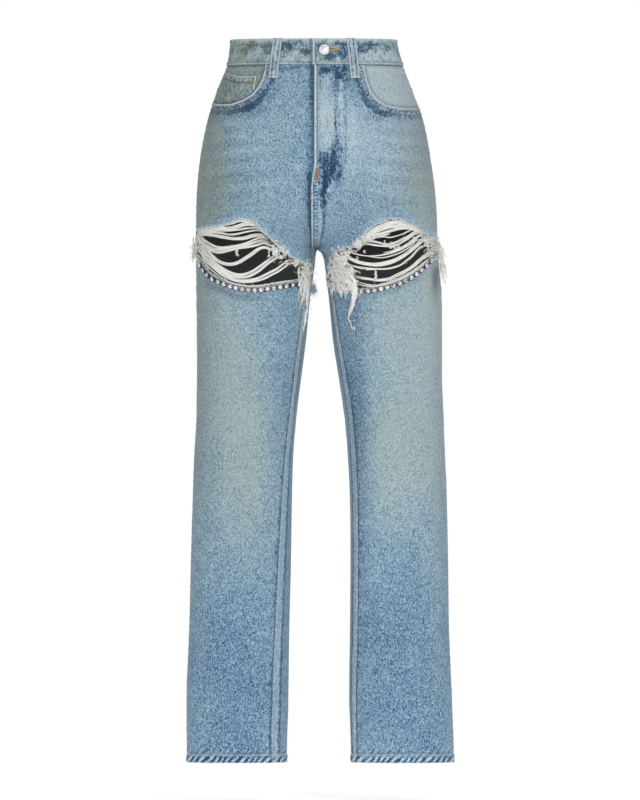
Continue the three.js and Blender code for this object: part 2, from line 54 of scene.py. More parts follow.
FRONT_RISE, SIDE_RISE, BACK_RISE = 70, 130, 115
TORSO_ROUND, LEG_ROUND = 2 / 2.3, 2 / 2.4
YOKE_CENTRE, YOKE_SIDE = 100, 72
STONE_PITCH = 9.5
SIDES = {"right": -1, "left": 1}
rng = np.random.default_rng(7)

# Half widths of the hips to each side of the centre front, and the depths of front, side seam and back
TORSO = dict(zip(("down", "right", "left", "front", "side", "back"), np.array([
    [0, 132, 122, -88, 4, 92], [40, 138, 132, -93, 4, 100], [73, 151, 144, -100, 5, 112],
    [122, 167, 162, -107, 7, 124], [184, 179, 174, -111, 9, 134], [245, 184, 181, -111, 11, 138],
    [319, 185, 184, -106, 12, 136],
], float).T))

# Each leg's outer and inner reach, its middle and depth, and the inseam's turn to the front in degrees
LEG = dict(zip(("down", "outer_right", "inner_right", "outer_left", "inner_left", "middle", "depth",
                "turn_right", "turn_left"), np.array([
    [319, 185, 0.2, 184, 0.2, 12, 104, 0, 0], [326, 185, 1.5, 185, 7, 12, 103, 8, 8],
    [345, 185, 3.5, 187, 12, 12, 101, 16, 15], [398, 184, 10.7, 190.5, 18.4, 12, 95, 24, 22],
    [460, 183.6, 16.8, 191.3, 24.5, 10, 87, 28, 27], [520, 183.6, 24.5, 191.3, 33.7, 8, 80, 28, 30],
    [580, 184.5, 32, 193.5, 42.6, 6, 75, 28, 31], [640, 188, 36.5, 196, 47.3, 6, 71.5, 30, 30],
    [700, 190, 38.2, 198.5, 50.3, 7, 69, 34, 29], [800, 193, 39.9, 200.6, 51.2, 9, 66.5, 39, 29],
    [900, 195.5, 42.3, 202, 50.5, 11, 65, 42, 28], [1000, 199.5, 43.7, 206, 49.3, 13, 64, 45, 26],
    [1105, 199, 46, 209.5, 52, 14, 63.5, 45, 23],
], float).T))

# Soft folds: face, side, x, down, reach across, reach down, lean, height
FOLDS = np.array([
    [0, -1, -120, 415, 60, 9, 0.12, 2.2], [0, -1, -150, 398, 30, 8, 0.5, 2.4], [0, 1, 120, 420, 55, 9, -0.15, 2.2],
    [0, 1, 162, 400, 26, 9, -0.6, 2.6], [0, -1, -100, 560, 70, 16, 0.1, 1.6], [0, 1, 115, 585, 70, 16, -0.1, 1.6],
    [0, -1, -110, 1000, 60, 18, 0.2, 1.8], [0, 1, 130, 1020, 60, 16, -0.25, 1.8],
    [0, -1, -95, 150, 45, 5, -0.08, 0.7], [0, -1, -110, 171, 55, 5, -0.1, 0.8], [0, -1, -100, 196, 50, 6, -0.12, 0.9],
    [0, -1, -115, 222, 50, 6, -0.14, 0.8], [0, 1, 105, 143, 40, 5, 0.1, 0.7], [0, 1, 120, 166, 50, 5, 0.1, 0.9],
    [0, 1, 112, 192, 55, 6, 0.12, 0.9], [0, 1, 125, 219, 50, 6, 0.1, 0.8], [0, -1, -45, 262, 30, 7, 0.5, 1.0],
    [0, 1, 45, 262, 30, 7, -0.5, 1.0], [0, -1, -130, 470, 50, 12, 0.3, 1.2], [0, 1, 90, 500, 50, 12, 0.2, 1.1],
    [0, -1, -80, 640, 40, 12, -0.3, 1.0], [0, 1, 150, 660, 40, 12, 0.3, 1.1], [0, -1, -140, 760, 40, 14, 0.3, 1.0],
    [0, 1, 95, 800, 40, 14, -0.3, 1.0], [0, -1, -95, 900, 45, 12, -0.25, 1.0], [0, 1, 140, 930, 45, 12, 0.3, 1.1],
    [0, -1, -150, 1060, 40, 9, 0.2, 1.2], [0, 1, 100, 1066, 40, 9, -0.2, 1.2],
    [1, -1, -110, 330, 60, 9, 0.15, 2.0], [1, 1, 108, 334, 60, 9, -0.18, 2.0], [1, -1, -60, 352, 40, 8, 0.45, 1.8],
    [1, 1, 62, 350, 40, 8, -0.4, 1.8], [1, -1, -115, 560, 60, 12, 0.1, 2.0], [1, 1, 120, 556, 60, 12, -0.1, 2.0],
    [1, -1, -105, 600, 55, 11, -0.1, 1.8], [1, 1, 112, 604, 55, 11, 0.12, 1.8], [1, -1, -120, 1010, 60, 14, 0.2, 1.8],
    [1, 1, 128, 1000, 60, 14, -0.2, 1.8], [1, -1, -130, 440, 50, 12, 0.25, 1.2], [1, 1, 122, 452, 50, 12, -0.25, 1.2],
    [1, -1, -110, 800, 50, 15, 0.2, 1.1], [1, 1, 118, 830, 50, 15, -0.2, 1.1],
])

# Outline points are [x, down], both as seen from the front
POCKET_RIGHT = [
    [-78, 38], [-79, 46], [-83, 61], [-90, 74.5], [-99, 85], [-111.5, 93], [-131, 99.5], [-143, 100],
    [-155, 98.5], [-161, 95.3], [-190, 94], [-190, 38],
]
POCKET_LEFT = [
    [72, 38], [73, 47], [77, 65.5], [83, 82], [92, 93], [106, 101.5], [126, 105.5], [140, 106],
    [157, 104.5], [190, 104], [190, 38],
]
COIN_POCKET = [
    [-143, 50], [-135, 52], [-121, 57], [-93, 57.5], [-95.5, 77], [-102, 84.5], [-112, 90], [-131, 96.5],
    [-143, 97],
]
RIP_RIGHT = [
    [-206, 294], [-184, 292], [-170, 289], [-153, 287], [-133, 282], [-118, 276], [-104, 277], [-93, 284],
    [-83, 295], [-71, 305], [-60, 317], [-50, 327], [-31, 339], [-19, 345], [-13, 353], [-13, 367],
    [-24, 369], [-51, 372], [-71, 376], [-92, 378], [-112, 377], [-129, 373], [-146, 366], [-160, 358],
    [-172, 346], [-181, 336], [-206, 330],
]
RIP_LEFT = [
    [24, 332], [31, 325], [41, 320], [63, 316], [67, 304], [78, 293], [93, 283], [112, 276], [126, 277],
    [139, 283], [153, 289], [165, 299], [181, 309], [206, 314], [206, 334], [184, 336], [175, 337],
    [160, 343], [146, 354], [133, 361], [119, 366], [106, 373], [92, 376], [78, 379],
    [66, 382], [45, 385], [28, 384], [19, 374], [18, 352], [21, 340],
]
RIPS = {"right": RIP_RIGHT, "left": RIP_LEFT}
POCKETS = {"right": POCKET_RIGHT, "left": POCKET_LEFT}


def mix(a, b, t):
    return a + (b - a) * t


def rounded(value, power):
    return np.sign(value) * np.abs(value) ** power


def smooth(low, high, value):
    t = np.clip((value - low) / (high - low), 0, 1)
    return t * t * (3 - 2 * t)


def bump(value, middle, reach):
    """A soft hump of height 1 at the middle"""
    return np.exp(-(((value - middle) / reach) ** 2))


def look_up(rows, column, down):
    """Smooth value of one column of a table at a distance down"""
    x, y = rows["down"], rows[column]
    slope = np.zeros_like(y)
    slope[1:-1] = (y[2:] - y[:-2]) / (x[2:] - x[:-2])
    down = np.clip(down, x[0], x[-1])
    k = np.clip(np.searchsorted(x, down, "right") - 1, 0, len(x) - 2)
    span = x[k + 1] - x[k]
    t = (down - x[k]) / span
    bend = t * t * (3 - 2 * t)
    slopes = (t - 2 * t**2 + t**3) * slope[k] + (t**3 - t**2) * slope[k + 1]
    return y[k] * (1 - bend) + y[k + 1] * bend + slopes * span


def skin(side, face, s, down):
    """The cloth's outer surface: s runs from the centre seam or inseam to the side seam, face 0 is the front"""
    name = "right" if side < 0 else "left"
    leg_down = np.maximum(down, CROTCH)
    turn = np.radians(look_up(LEG, "turn_" + name, leg_down))
    angle = mix(turn, math.pi if face == 0 else -math.pi, s)
    outer, inner = look_up(LEG, "outer_" + name, leg_down), look_up(LEG, "inner_" + name, leg_down)
    leg_x = side * ((outer + inner) / 2 - (outer - inner) / 2 * rounded(np.cos(angle), LEG_ROUND))
    leg_y = look_up(LEG, "middle", leg_down) - look_up(LEG, "depth", leg_down) * rounded(np.sin(angle), LEG_ROUND)
    quarter = math.pi / 2 * s
    seam = look_up(TORSO, "side", down)
    far = look_up(TORSO, "back" if face else "front", down)
    hip_x = side * look_up(TORSO, name, down) * rounded(np.sin(quarter), TORSO_ROUND)
    hip_y = seam + (far - seam) * rounded(np.maximum(np.cos(quarter), 0), TORSO_ROUND)
    rise = mix(BACK_RISE if face else FRONT_RISE, SIDE_RISE, s)
    height = np.clip((CROTCH - down) / rise, 0, 1)
    hips = (1 - (1 - height) ** 2) ** mix(0.5, 1.5, smooth(0, 0.5, s))
    return np.stack([mix(leg_x, hip_x, hips), mix(leg_y, hip_y, hips), -down * np.ones_like(s)], -1)


def fold_height(side, face, x, down):
    height = np.zeros_like(x)
    for _, _, at_x, at_down, reach_x, reach_down, lean, high in FOLDS[(FOLDS[:, 0] == face) & (FOLDS[:, 1] == side)]:
        height += high * bump(x, at_x, reach_x) * bump(down - lean * (x - at_x), at_down, reach_down)
    return height


def unit(vectors):
    return vectors / np.maximum(np.linalg.norm(vectors, axis=-1, keepdims=True), 1e-9)


def surface(side, face, s, down, relief=None):
    """Points of the outer surface with their outward normals"""
    s, down = np.broadcast_arrays(np.asarray(s, float), np.asarray(down, float))
    step, step_down = 0.004, 1.5
    across = skin(side, face, np.clip(s + step, 0, 1), down) - skin(side, face, np.clip(s - step, 0, 1), down)
    along = skin(side, face, s, down + step_down) - skin(side, face, s, down - step_down)
    normal = unit(np.cross(across, along)) * side * (1 if face else -1)
    share = np.exp(-(((CROTCH - down) / 5) ** 2) - (s / 0.05) ** 2)[..., None]
    pinch = np.array([-0.6 * side, 0, -0.8])
    normal = unit(mix(normal, pinch, np.minimum(1, share * 1.4)))
    crossing = (s < 0.01) & (down < CROTCH) & (side * normal[..., 0] > 0)
    normal[..., 0] = np.where(crossing, 0, normal[..., 0])
    normal = unit(normal)
    point = skin(side, face, s, down)
    height = fold_height(side, face, point[..., 0], down)
    if relief is not None:
        height = height + relief(point[..., 0], s, down)
    return point + normal * height[..., None], normal


TURN = 2.5
HALF_ROUND = 300


def facing(face, x, down, lift, relief=None):
    """Points that show at x, down on the front or back. Near the outline, x is counted on round the side."""
    x, down = np.broadcast_arrays(np.asarray(x, float), np.asarray(down, float))
    lift = np.broadcast_to(np.asarray(lift, float), x.shape)
    points, normals = np.zeros(x.shape + (3,)), np.zeros(x.shape + (3,))
    for side in (-1, 1):
        here = (x < 0) if side < 0 else (x >= 0)
        if not here.any():
            continue
        reach, d = side * x[here], down[here]
        turning = side * skin(side, face, np.ones_like(d), d)[..., 0] - TURN
        target = np.minimum(reach, turning)
        low, high = np.zeros_like(reach), np.ones_like(reach)
        for _ in range(30):
            s = (low + high) / 2
            inside = side * skin(side, face, s, d)[..., 0] < target
            low, high = np.where(inside, s, low), np.where(inside, high, s)
        s = np.minimum(low + (reach - target) / HALF_ROUND, 0.995)
        point, normal = surface(side, face, s, d, relief)
        points[here], normals[here] = point + normal * lift[here][:, None], normal
    return points, normals


# ---- shader maths ----
class Value:
    """One number socket of a shader, which the usual operators work on"""

    def __init__(self, sheet, socket):
        self.sheet, self.socket = sheet, socket

    def _with(self, operation, first, second):
        return self.sheet.value("ShaderNodeMath", {"operation": operation}, {0: first, 1: second})

    def __add__(self, other):
        return self._with("ADD", self, other)

    def __sub__(self, other):
        return self._with("SUBTRACT", self, other)

    def __rsub__(self, other):
        return self._with("SUBTRACT", other, self)

    def __mul__(self, other):
        return self._with("MULTIPLY", self, other)

    def __truediv__(self, other):
        return self._with("DIVIDE", self, other)

    def __pow__(self, other):
        return self._with("POWER", self, other)

    def clamp(self):
        return self.sheet.value("ShaderNodeClamp", {}, {0: self})

    def between(self, low, high):
        """0 below low, 1 above high, soft in between"""
        return self.sheet.value(
            "ShaderNodeMapRange", {"interpolation_type": "SMOOTHSTEP"}, {0: self, 1: low, 2: high, 3: 0.0, 4: 1.0})

    __radd__, __rmul__ = __add__, __mul__


class Finish:
    """A material under construction: one surface shader and the patterns that feed it"""

    def __init__(self, name, **sockets):
        self.material = bpy.data.materials.new(name)
        self.material.use_nodes = True
        self.tree = self.material.node_tree
        self.shader = self.tree.nodes["Principled BSDF"]
        for socket, value in sockets.items():
            self.shader.inputs[socket.replace("_", " ")].default_value = value
        self.place = self.node("ShaderNodeTexCoord").outputs["Object"]

    def node(self, kind, settings=None, sockets=None):
        new = self.tree.nodes.new(kind)
        for name, value in (settings or {}).items():
            if name == "stops":
                while len(new.color_ramp.elements) < len(value):
                    new.color_ramp.elements.new(0.5)
                for element, (position, colour) in zip(new.color_ramp.elements, value):
                    element.position, element.color = position, (*colour, 1)
            else:
                setattr(new, name, value)
        for name, value in (sockets or {}).items():
            self.feed(new.inputs[name], value)
        return new

    def feed(self, socket, value):
        if isinstance(value, Value):
            value = value.socket
        if isinstance(value, bpy.types.NodeSocket):
            self.tree.links.new(value, socket)
        else:
            socket.default_value = value

    def value(self, kind, settings, sockets):
        return Value(self, self.node(kind, settings, sockets).outputs[0])

    def mark(self, name):
        """A number kept at each point of the mesh"""
        return Value(self, self.node("ShaderNodeAttribute", {"attribute_name": name}).outputs["Fac"])

    def stretched(self, x, y, z, turn=(0, 0, 0)):
        return self.node("ShaderNodeMapping", {}, {"Vector": self.place, "Scale": (x, y, z), "Rotation": turn}).outputs[0]

    def noise(self, scale, detail=2.0, roughness=0.55, place=None, distortion=0.0):
        sockets = {"Vector": place or self.place, "Scale": scale, "Detail": detail, "Roughness": roughness,
                   "Distortion": distortion}
        return Value(self, self.node("ShaderNodeTexNoise", {}, sockets).outputs["Fac"])

    def wave(self, scale, place, distortion=0.0, direction="X"):
        sockets = {"Vector": place, "Scale": scale, "Distortion": distortion, "Detail": 2.0, "Detail Scale": 2.0}
        return Value(self, self.node("ShaderNodeTexWave", {"bands_direction": direction}, sockets).outputs["Fac"])

    def ramp(self, value, stops):
        return self.node("ShaderNodeValToRGB", {"stops": stops}, {0: value}).outputs[0]

    def blend(self, share, first, second, kind="MIX"):
        """Two colours mixed; each is a socket or a linear red, green, blue"""
        colours = [(*c, 1) if isinstance(c, tuple) else c for c in (first, second)]
        settings = {"data_type": "RGBA", "blend_type": kind, "clamp_factor": True}
        mixer = self.node("ShaderNodeMix", settings, {"Factor": share})
        self.feed(mixer.inputs[6], colours[0])
        self.feed(mixer.inputs[7], colours[1])
        return mixer.outputs[2]

    def finish(self, colour=None, roughness=None, height=None, distance=0.0005, strength=1.0, metallic=None):
        if colour is not None:
            self.feed(self.shader.inputs["Base Color"], colour)
        if roughness is not None:
            self.feed(self.shader.inputs["Roughness"], roughness)
        if metallic is not None:
            self.feed(self.shader.inputs["Metallic"], metallic)
        if height is not None:
            bumps = self.node("ShaderNodeBump", {}, {"Height": height, "Distance": distance, "Strength": strength})
            self.feed(self.shader.inputs["Normal"], bumps.outputs[0])
        return self.material


NIGHT_BLUE = (0.018, 0.05, 0.11)
INDIGO, DENIM_MID, DENIM_PALE = (0.045, 0.11, 0.215), (0.205, 0.35, 0.47), (0.52, 0.63, 0.69)
BLEACHED = (0.66, 0.72, 0.735)
# The inside colour is a grey darker than the denim's pale wrong side: painted shade for the inside of the hollow cloth.
WORN_AND_SHADED_TINT, INSIDE_PAINTED_SHADE = (0.34, 0.355, 0.235), (0.22, 0.235, 0.24)


def denim(name, darker=0.0, mottle=0.0):
    """Washed indigo twill. The cloth's marks say where it is pale, yellowed, puckered or dark, and where shade is
    painted into its colour.
    """
    f = Finish(name, Roughness=0.92, Specular_IOR_Level=0.18, Sheen_Weight=0.15, Sheen_Roughness=0.6)
    slub = f.noise(1.0, 3.0, 0.65, f.stretched(820, 820, 240))
    weft = f.noise(1.0, 2.0, 0.6, f.stretched(260, 260, 640))
    grain = f.noise(700.0, 2.0, 0.8)
    speckle = f.noise(330.0, 2.0, 0.6)
    cloud = f.noise(38.0, 4.0, 0.6)
    blotch = f.noise(95.0, 2.0, 0.5, distortion=0.5)
    drift = f.noise(9.0, 3.0, 0.5)
    pucker = f.noise(150.0, 2.0, 0.5, distortion=0.4)
    twill = f.wave(420.0, f.stretched(1, 1, 1, (0, math.radians(52), 0)), 1.5)
    tone = f.mark("tone")
    yarn = slub * 0.38 + weft * 0.14 + grain * 0.38 + speckle * 0.1
    level = (yarn - 0.5) * 4.6 + (cloud - 0.5) * 0.26 + (drift - 0.5) * 0.18 + tone * 0.5 + (0.5 - darker)
    level = level + (pucker - 0.5) * f.mark("pucker") * 1.3 + (blotch - 0.5) * mottle
    ragged = f.noise(170.0, 3.0, 0.62, distortion=0.5)
    fading = f.noise(1.0, 3.0, 0.65, f.stretched(420, 420, 17))
    blot = (f.mark("blot") + (ragged - 0.5) * 1.7).between(0.42, 0.72) * f.mark("blot").between(0.02, 0.25)
    level = level - blot * 0.36 + (fading - 0.4) * f.mark("streak") * 1.5
    colour = f.ramp(level, [(0.0, NIGHT_BLUE), (0.13, INDIGO), (0.46, DENIM_MID), (0.92, DENIM_PALE)])
    tint = (f.mark("tint") * (0.75 + (cloud - 0.5) * 0.9)).clamp()
    # The tint yellows worn cloth; on the wedge by the left side seam it also colours painted shade.
    colour = f.blend(tint * 0.85, colour, f.blend(0.75, colour, WORN_AND_SHADED_TINT, "SOFT_LIGHT"))
    colour = f.blend(tint * 0.5, colour, WORN_AND_SHADED_TINT)
    colour = f.blend((f.mark("bleach") * (0.55 + (grain * 0.9))).clamp(), colour, BLEACHED)
    # Painted shade: the shade mark darkens the colour along grooves and seam edges, beside laps and below the crystal
    # trims.
    colour = f.blend(f.mark("shade"), colour, (0.05, 0.085, 0.125))
    # Inner faces take the darker grey: painted shade inside the hollow legs and band.
    colour = f.blend(f.mark("inside"), colour, INSIDE_PAINTED_SHADE)
    height = twill * 0.25 + slub * 0.35 + grain * 0.5 + pucker * f.mark("pucker") * 2.2
    return f.finish(colour, 0.86 + grain * 0.12, height, 0.0006, 0.55)


# ---- cloth shells ----
def distance_to(x, down, line):
    """Shortest distance on the front's picture from each point to a line of [x, down] points"""
    best = np.full(x.shape, 1e9)
    for (ax, ad), (bx, bd) in zip(line[:-1], line[1:]):
        t = np.clip(((x - ax) * (bx - ax) + (down - ad) * (bd - ad)) / ((bx - ax) ** 2 + (bd - ad) ** 2), 0, 1)
        best = np.minimum(best, np.hypot(x - ax - t * (bx - ax), down - ad - t * (bd - ad)))
    return best


def outside_of(x, down, outline):
    """Signed distance to a closed outline, positive outside it"""
    closed = outline + outline[:1]
    inside = np.zeros(x.shape, bool)
    for (ax, ad), (bx, bd) in zip(closed[:-1], closed[1:]):
        if ad != bd:
            inside ^= ((ad > down) != (bd > down)) & (x < (bx - ax) * (down - ad) / (bd - ad) + ax)
    return distance_to(x, down, closed) * np.where(inside, -1, 1)


def smooth_line(points, count):
    """Points of a smooth curve through the given ones, evenly spaced"""
    p = np.array(points, float)
    padded = np.vstack([2 * p[0] - p[1], p, 2 * p[-1] - p[-2]])
    t = np.linspace(0, 1, 13)[:-1, None]
    pieces = []
    for a, b, c, d in zip(padded[:-3], padded[1:-2], padded[2:-1], padded[3:]):
        pieces.append(0.5 * (2 * b + (c - a) * t + (2 * a - 5 * b + 4 * c - d) * t**2 + (3 * b - a - 3 * c + d) * t**3))
    fine = np.vstack(pieces + [p[-1:]])
    length = np.concatenate([[0], np.cumsum(np.linalg.norm(np.diff(fine, axis=0), axis=1))])
    where = np.linspace(0, length[-1], count)
    return np.stack([np.interp(where, length, fine[:, i]) for i in range(p.shape[1])], -1)


def put(name, verts, faces, materials, marks=None, face_materials=None, sharp=50):
    """A finished mesh object; its points come in millimetres"""
    mesh = bpy.data.meshes.new(name)
    mesh.from_pydata((np.asarray(verts) * MM).tolist(), [], faces)
    mesh.polygons.foreach_set("use_smooth", np.ones(len(mesh.polygons), bool))
    mesh.set_sharp_from_angle(angle=math.radians(sharp))
    for key, values in (marks or {}).items():
        mesh.attributes.new(key, "FLOAT", "POINT").data.foreach_set("value", np.asarray(values, np.float32))
    for material in materials:
        mesh.materials.append(material)
    if face_materials is not None:
        mesh.polygons.foreach_set("material_index", np.asarray(face_materials, np.int32))
    piece = bpy.data.objects.new(name, mesh)
    bpy.context.scene.collection.objects.link(piece)
    return piece


def dress(piece, slot, *nodes):
    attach(piece, "root")
    if nodes:
        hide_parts(*nodes)
    return piece


def clipped(corners, keep, cut_at):
    """The part of one cell where keep is positive"""
    ring = []
    for a, b in zip(corners, corners[1:] + corners[:1]):
        if keep[a] > 0:
            ring.append(a)
        if (keep[a] > 0) != (keep[b] > 0):
            ring.append(cut_at(a, b))
    return ring


def shell(name, points, normals, wall, material, keep=None, marks=None):
    """A closed piece of cloth between a grid of outer points and the same grid, one wall further in"""
    rows, columns = points.shape[:2]
    index = np.arange(rows * columns).reshape(rows, columns)
    cells = np.stack([index[:-1, :-1], index[:-1, 1:], index[1:, 1:], index[1:, :-1]], -1).reshape(-1, 4)
    outer, flat_normals = points.reshape(-1, 3), normals.reshape(-1, 3)
    wall = np.broadcast_to(wall, (rows, columns)).reshape(-1, 1)
    inner = outer - flat_normals * wall
    values = {key: np.broadcast_to(grid, (rows, columns)).reshape(-1) for key, grid in (marks or {}).items()}
    a, b, c = outer[cells[:, 0]], outer[cells[:, 1]], outer[cells[:, 3]]
    if (np.cross(b - a, c - a) * flat_normals[cells[:, 0]]).sum() < 0:
        cells = cells[:, ::-1]
    faces = cells.tolist()
    if keep is not None:
        keep = keep.reshape(-1)
        kept = keep[cells] > 0
        faces = cells[kept.all(1)].tolist()
        new, mixes = {}, []

        def cut_at(a, b):
            key = (min(a, b), max(a, b))
            if key not in new:
                new[key] = rows * columns + len(mixes)
                mixes.append((*key, keep[key[0]] / (keep[key[0]] - keep[key[1]])))
            return new[key]

        for cell in cells[kept.any(1) & ~kept.all(1)].tolist():
            faces.append(clipped(cell, keep, cut_at))
        if mixes:
            low, high = np.array([m[0] for m in mixes]), np.array([m[1] for m in mixes])
            t = np.array([m[2] for m in mixes])
            grown = lambda grid, t=t: np.concatenate([grid, mix(grid[low], grid[high], t if grid.ndim == 1 else t[:, None])])
            outer, inner = grown(outer), grown(inner)
            values = {key: grown(grid) for key, grid in values.items()}
    used = np.unique(np.concatenate([np.array(f) for f in faces]) if keep is not None else cells.reshape(-1))
    renamed = np.full(len(outer), -1)
    renamed[used] = np.arange(len(used))
    renamed = renamed.tolist()
    faces = [[renamed[i] for i in face] for face in faces]
    count = len(used)
    edges = {(a, b) for face in faces for a, b in zip(face, face[1:] + face[:1])}
    rim = [[b, a, a + count, b + count] for a, b in edges if (b, a) not in edges]
    rim.sort()
    under = [[i + count for i in reversed(face)] for face in faces]
    marks = {key: np.tile(grid[used], 2) for key, grid in values.items()}
    marks["inside"] = np.repeat([0.0, 1.0], count)
    return put(name, np.vstack([outer[used], inner[used]]), faces + under + rim, [material], marks)


# ---- where the cloth is pale, yellowed, puckered or dark, and where shade is painted on it ----
# Washed areas: face, x, down, reach across, reach down, tone, tint
WASH = [
    [0, -172, 200, 30, 130, -0.15, 1.0], [0, -150, 225, 40, 90, -0.05, 0.35], [0, 165, 210, 42, 120, 0.05, 0.85],
    [0, -176, 330, 30, 150, 0.0, 0.5], [0, 176, 400, 30, 200, 0.45, 0.2], [0, -95, 185, 60, 60, 0.05, 0.0],
    [0, 92, 165, 50, 60, 0.3, 0.0], [0, 60, 120, 30, 50, 0.2, 0.0],
    [0, -85, 330, 60, 60, -0.05, 0.0], [0, 80, 290, 60, 60, -0.05, 0.0],
    [0, -112, 640, 42, 150, 0.3, 0.9], [0, 122, 620, 46, 120, 0.42, 0.85], [0, -140, 480, 44, 100, 0.2, 0.5],
    [0, 118, 430, 54, 70, 0.35, 0.45], [0, -55, 560, 26, 190, -0.1, 0.0], [0, 58, 560, 22, 210, -0.5, 0.0],
    [0, -172, 620, 22, 190, -0.1, 0.5], [0, 184, 620, 22, 240, 0.15, 0.45], [0, -120, 990, 100, 210, -0.42, -0.1],
    [0, 130, 990, 100, 210, -0.36, -0.1], [0, 13, 108, 13, 44, 0.4, 0.3], [0, 10, 176, 12, 14, 0.1, 0.0],
    [0, -10, 130, 7, 80, -0.3, 0.0], [0, -11, 250, 8, 60, -0.45, 0.0], [0, 30, 62, 10, 16, -0.5, 0.0],
    [0, 24, 196, 12, 26, -0.45, 0.0], [0, 10, 196, 10, 26, -0.5, 0.0], [0, 16, 49, 18, 6, -0.6, 0.0],
    [0, 52, 150, 12, 60, 0.35, 0.0], [0, -150, 118, 30, 12, -0.25, 0.2], [0, -100, 107, 22, 14, -0.45, 0.0],
    [0, -72, 62, 14, 26, -0.3, 0.0], [0, 62, 66, 12, 24, -0.35, 0.0], [0, 92, 116, 22, 14, -0.35, 0.1],
    [1, -100, 230, 80, 90, 0.3, 0.3], [1, 100, 230, 80, 90, 0.3, 0.3], [1, -160, 260, 40, 160, -0.1, 0.7],
    [1, 160, 260, 40, 160, -0.1, 0.7], [1, -115, 480, 60, 90, 0.2, 0.35], [1, 120, 480, 60, 90, 0.2, 0.35],
    [1, -120, 990, 100, 200, -0.4, 0.0], [1, 125, 990, 100, 200, -0.4, 0.0],
]
# Ragged dark patches and pale upright streaks: face, x, down, reach across, reach down, strength
BLOTS = [
    [0, 28, 112, 3.2, 44, 0.6], [0, 35, 118, 3.0, 34, 0.6], [0, 26, 186, 9, 26, 0.95], [0, 34, 170, 6, 26, 0.6],
    [0, 9, 182, 9, 17, 0.8], [0, 12, 222, 10, 22, 0.95], [0, 34, 208, 10, 6, 0.6], [0, 12, 50, 14, 9, 0.8],
    [0, 38, 54, 10, 12, 0.75], [0, 5, 72, 3.5, 22, 0.6], [0, -9, 70, 4.5, 40, 0.6], [0, 6, 250, 4, 26, 0.5],
    [0, -104, 98, 12, 9, 0.75], [0, -88, 84, 8, 12, 0.75], [0, -130, 107, 20, 6, 0.8], [0, -154, 106, 12, 6, 0.6],
    [0, -62, 92, 5, 12, 0.35], [0, 86, 100, 10, 10, 0.75], [0, 112, 112, 16, 6, 0.75], [0, 146, 111, 16, 6, 0.6],
    [0, 76, 80, 6, 14, 0.7], [0, 50, 66, 6, 8, 0.5], [0, -46, 50, 10, 5, 0.4],
]
STREAKS = [
    [0, 13, 116, 15, 44, 1.0], [0, 28, 112, 9, 44, 0.9], [0, 42, 128, 6, 40, 0.7], [0, 20, 62, 7, 9, 0.5],
    [0, 16, 218, 12, 18, 0.8], [0, 14, 178, 16, 22, 0.8], [0, 30, 190, 8, 26, 0.7],
]
WHISKERS = [
    [-120, 128, -0.10, 34, 0.16], [-125, 150, -0.08, 38, 0.2], [-118, 173, -0.1, 44, 0.22], [-122, 198, -0.12, 44, 0.2],
    [-112, 226, -0.16, 44, 0.16], [118, 132, 0.1, 34, 0.16], [124, 156, 0.08, 40, 0.2], [118, 180, 0.1, 44, 0.22],
    [124, 206, 0.12, 44, 0.2], [114, 236, 0.14, 44, 0.16],
]
J_STITCH = [[36.5, 41], [36.5, 100], [36, 150], [33.5, 192], [28, 212], [20, 228], [10, 243], [1, 252]]
# The left front laps over the right by this much at the fly, and by more at the sewn crotch seam
LAP_EDGE, FELL_EDGE, LAP_REACH = 4.2, 8.6, 3.0


def seam_length(side, face, s, down):
    """Distance on the cloth from the inseam or centre seam, and to the side seam"""
    girth = 255 - 75 * smooth(330, 700, down)
    return s * girth, (1 - s) * girth


def panel_relief(side, face):
    """Heights that the seams, hems and pocket edges give to one panel"""
    name = "right" if side < 0 else "left"

    def relief(x, s, down):
        from_inner, from_outer = seam_length(side, face, s, down)
        ripple = np.sin(down * 0.62 + 1.7 * np.sin(down * 0.11)) * 0.5 + 0.5
        height = -0.9 * bump(from_outer, 0, 1.6) + 0.45 * bump(from_outer, 5, 3) * ripple
        if face == 0:
            leg = smooth(CROTCH - 8, CROTCH + 6, down)
            height = height + leg * (1.0 * (1 - smooth(5.6, 7.2, from_inner)) * (0.75 + 0.4 * ripple)
                                     - 0.7 * bump(from_inner, 8.6, 1.3) + 0.35 * bump(from_inner, 12, 3) * ripple)
            pocket = outside_of(x, down, POCKETS[name])
            height = height + 0.9 * bump(pocket, 2.2, 2.2) - 0.5 * bump(pocket, 6, 1.2) - 0.3 * bump(pocket, 11, 1.2)
            height = height + 0.35 * bump(pocket, 8, 6) * np.sin(x * 0.55 + down * 0.35)
            fly = (1 - smooth(27, 29, down - 223 + 0.0)) * smooth(0, 1, 1 - leg)
            if side > 0:
                inside_j = 1 - smooth(-1.5, 1.5, x - np.interp(down, [41, 150, 192, 212, 228, 243, 252], [36.5, 36, 33.5, 28, 20, 10, 1]))
                height = height + 0.9 * inside_j * fly + 0.5 * bump(x - 1.6, 0, 1.8) * (1 - smooth(196, 202, down))
                height = height - 0.5 * bump(distance_to(x, down, J_STITCH), 0, 1.4) * fly
            else:
                height = height - 1.1 * bump(from_inner, 0, 3.2) * (1 - smooth(200, 206, down))
            height = height + 0.7 * (1 - smooth(4, 5.4, from_inner)) * smooth(200, 208, down) * (1 - leg) * (1 if side > 0 else 0.7)
        else:
            yoke = down - mix(YOKE_CENTRE, YOKE_SIDE, s)
            height = height + 0.7 * bump(yoke, 3.5, 3.2) - 0.5 * bump(yoke, 8.4, 1.2) - 0.4 * bump(yoke, -1, 1.2)
            height = height + 0.6 * (1 - smooth(5, 7, from_inner)) * (1 - smooth(CROTCH - 8, CROTCH + 6, down))
        hem = down - (LENGTH - HEM_HEIGHT)
        roping = np.sin((x * 0.9 + down * 0.8) * 0.62) * 0.5 + 0.5
        height = height + smooth(-0.8, 0.8, hem) * (0.7 + 0.6 * roping * bump(hem, 6, 5)) - 0.6 * bump(hem, -0.6, 1.2)
        height = height - 0.5 * bump(down, 41, 1.6)
        return height

    return relief


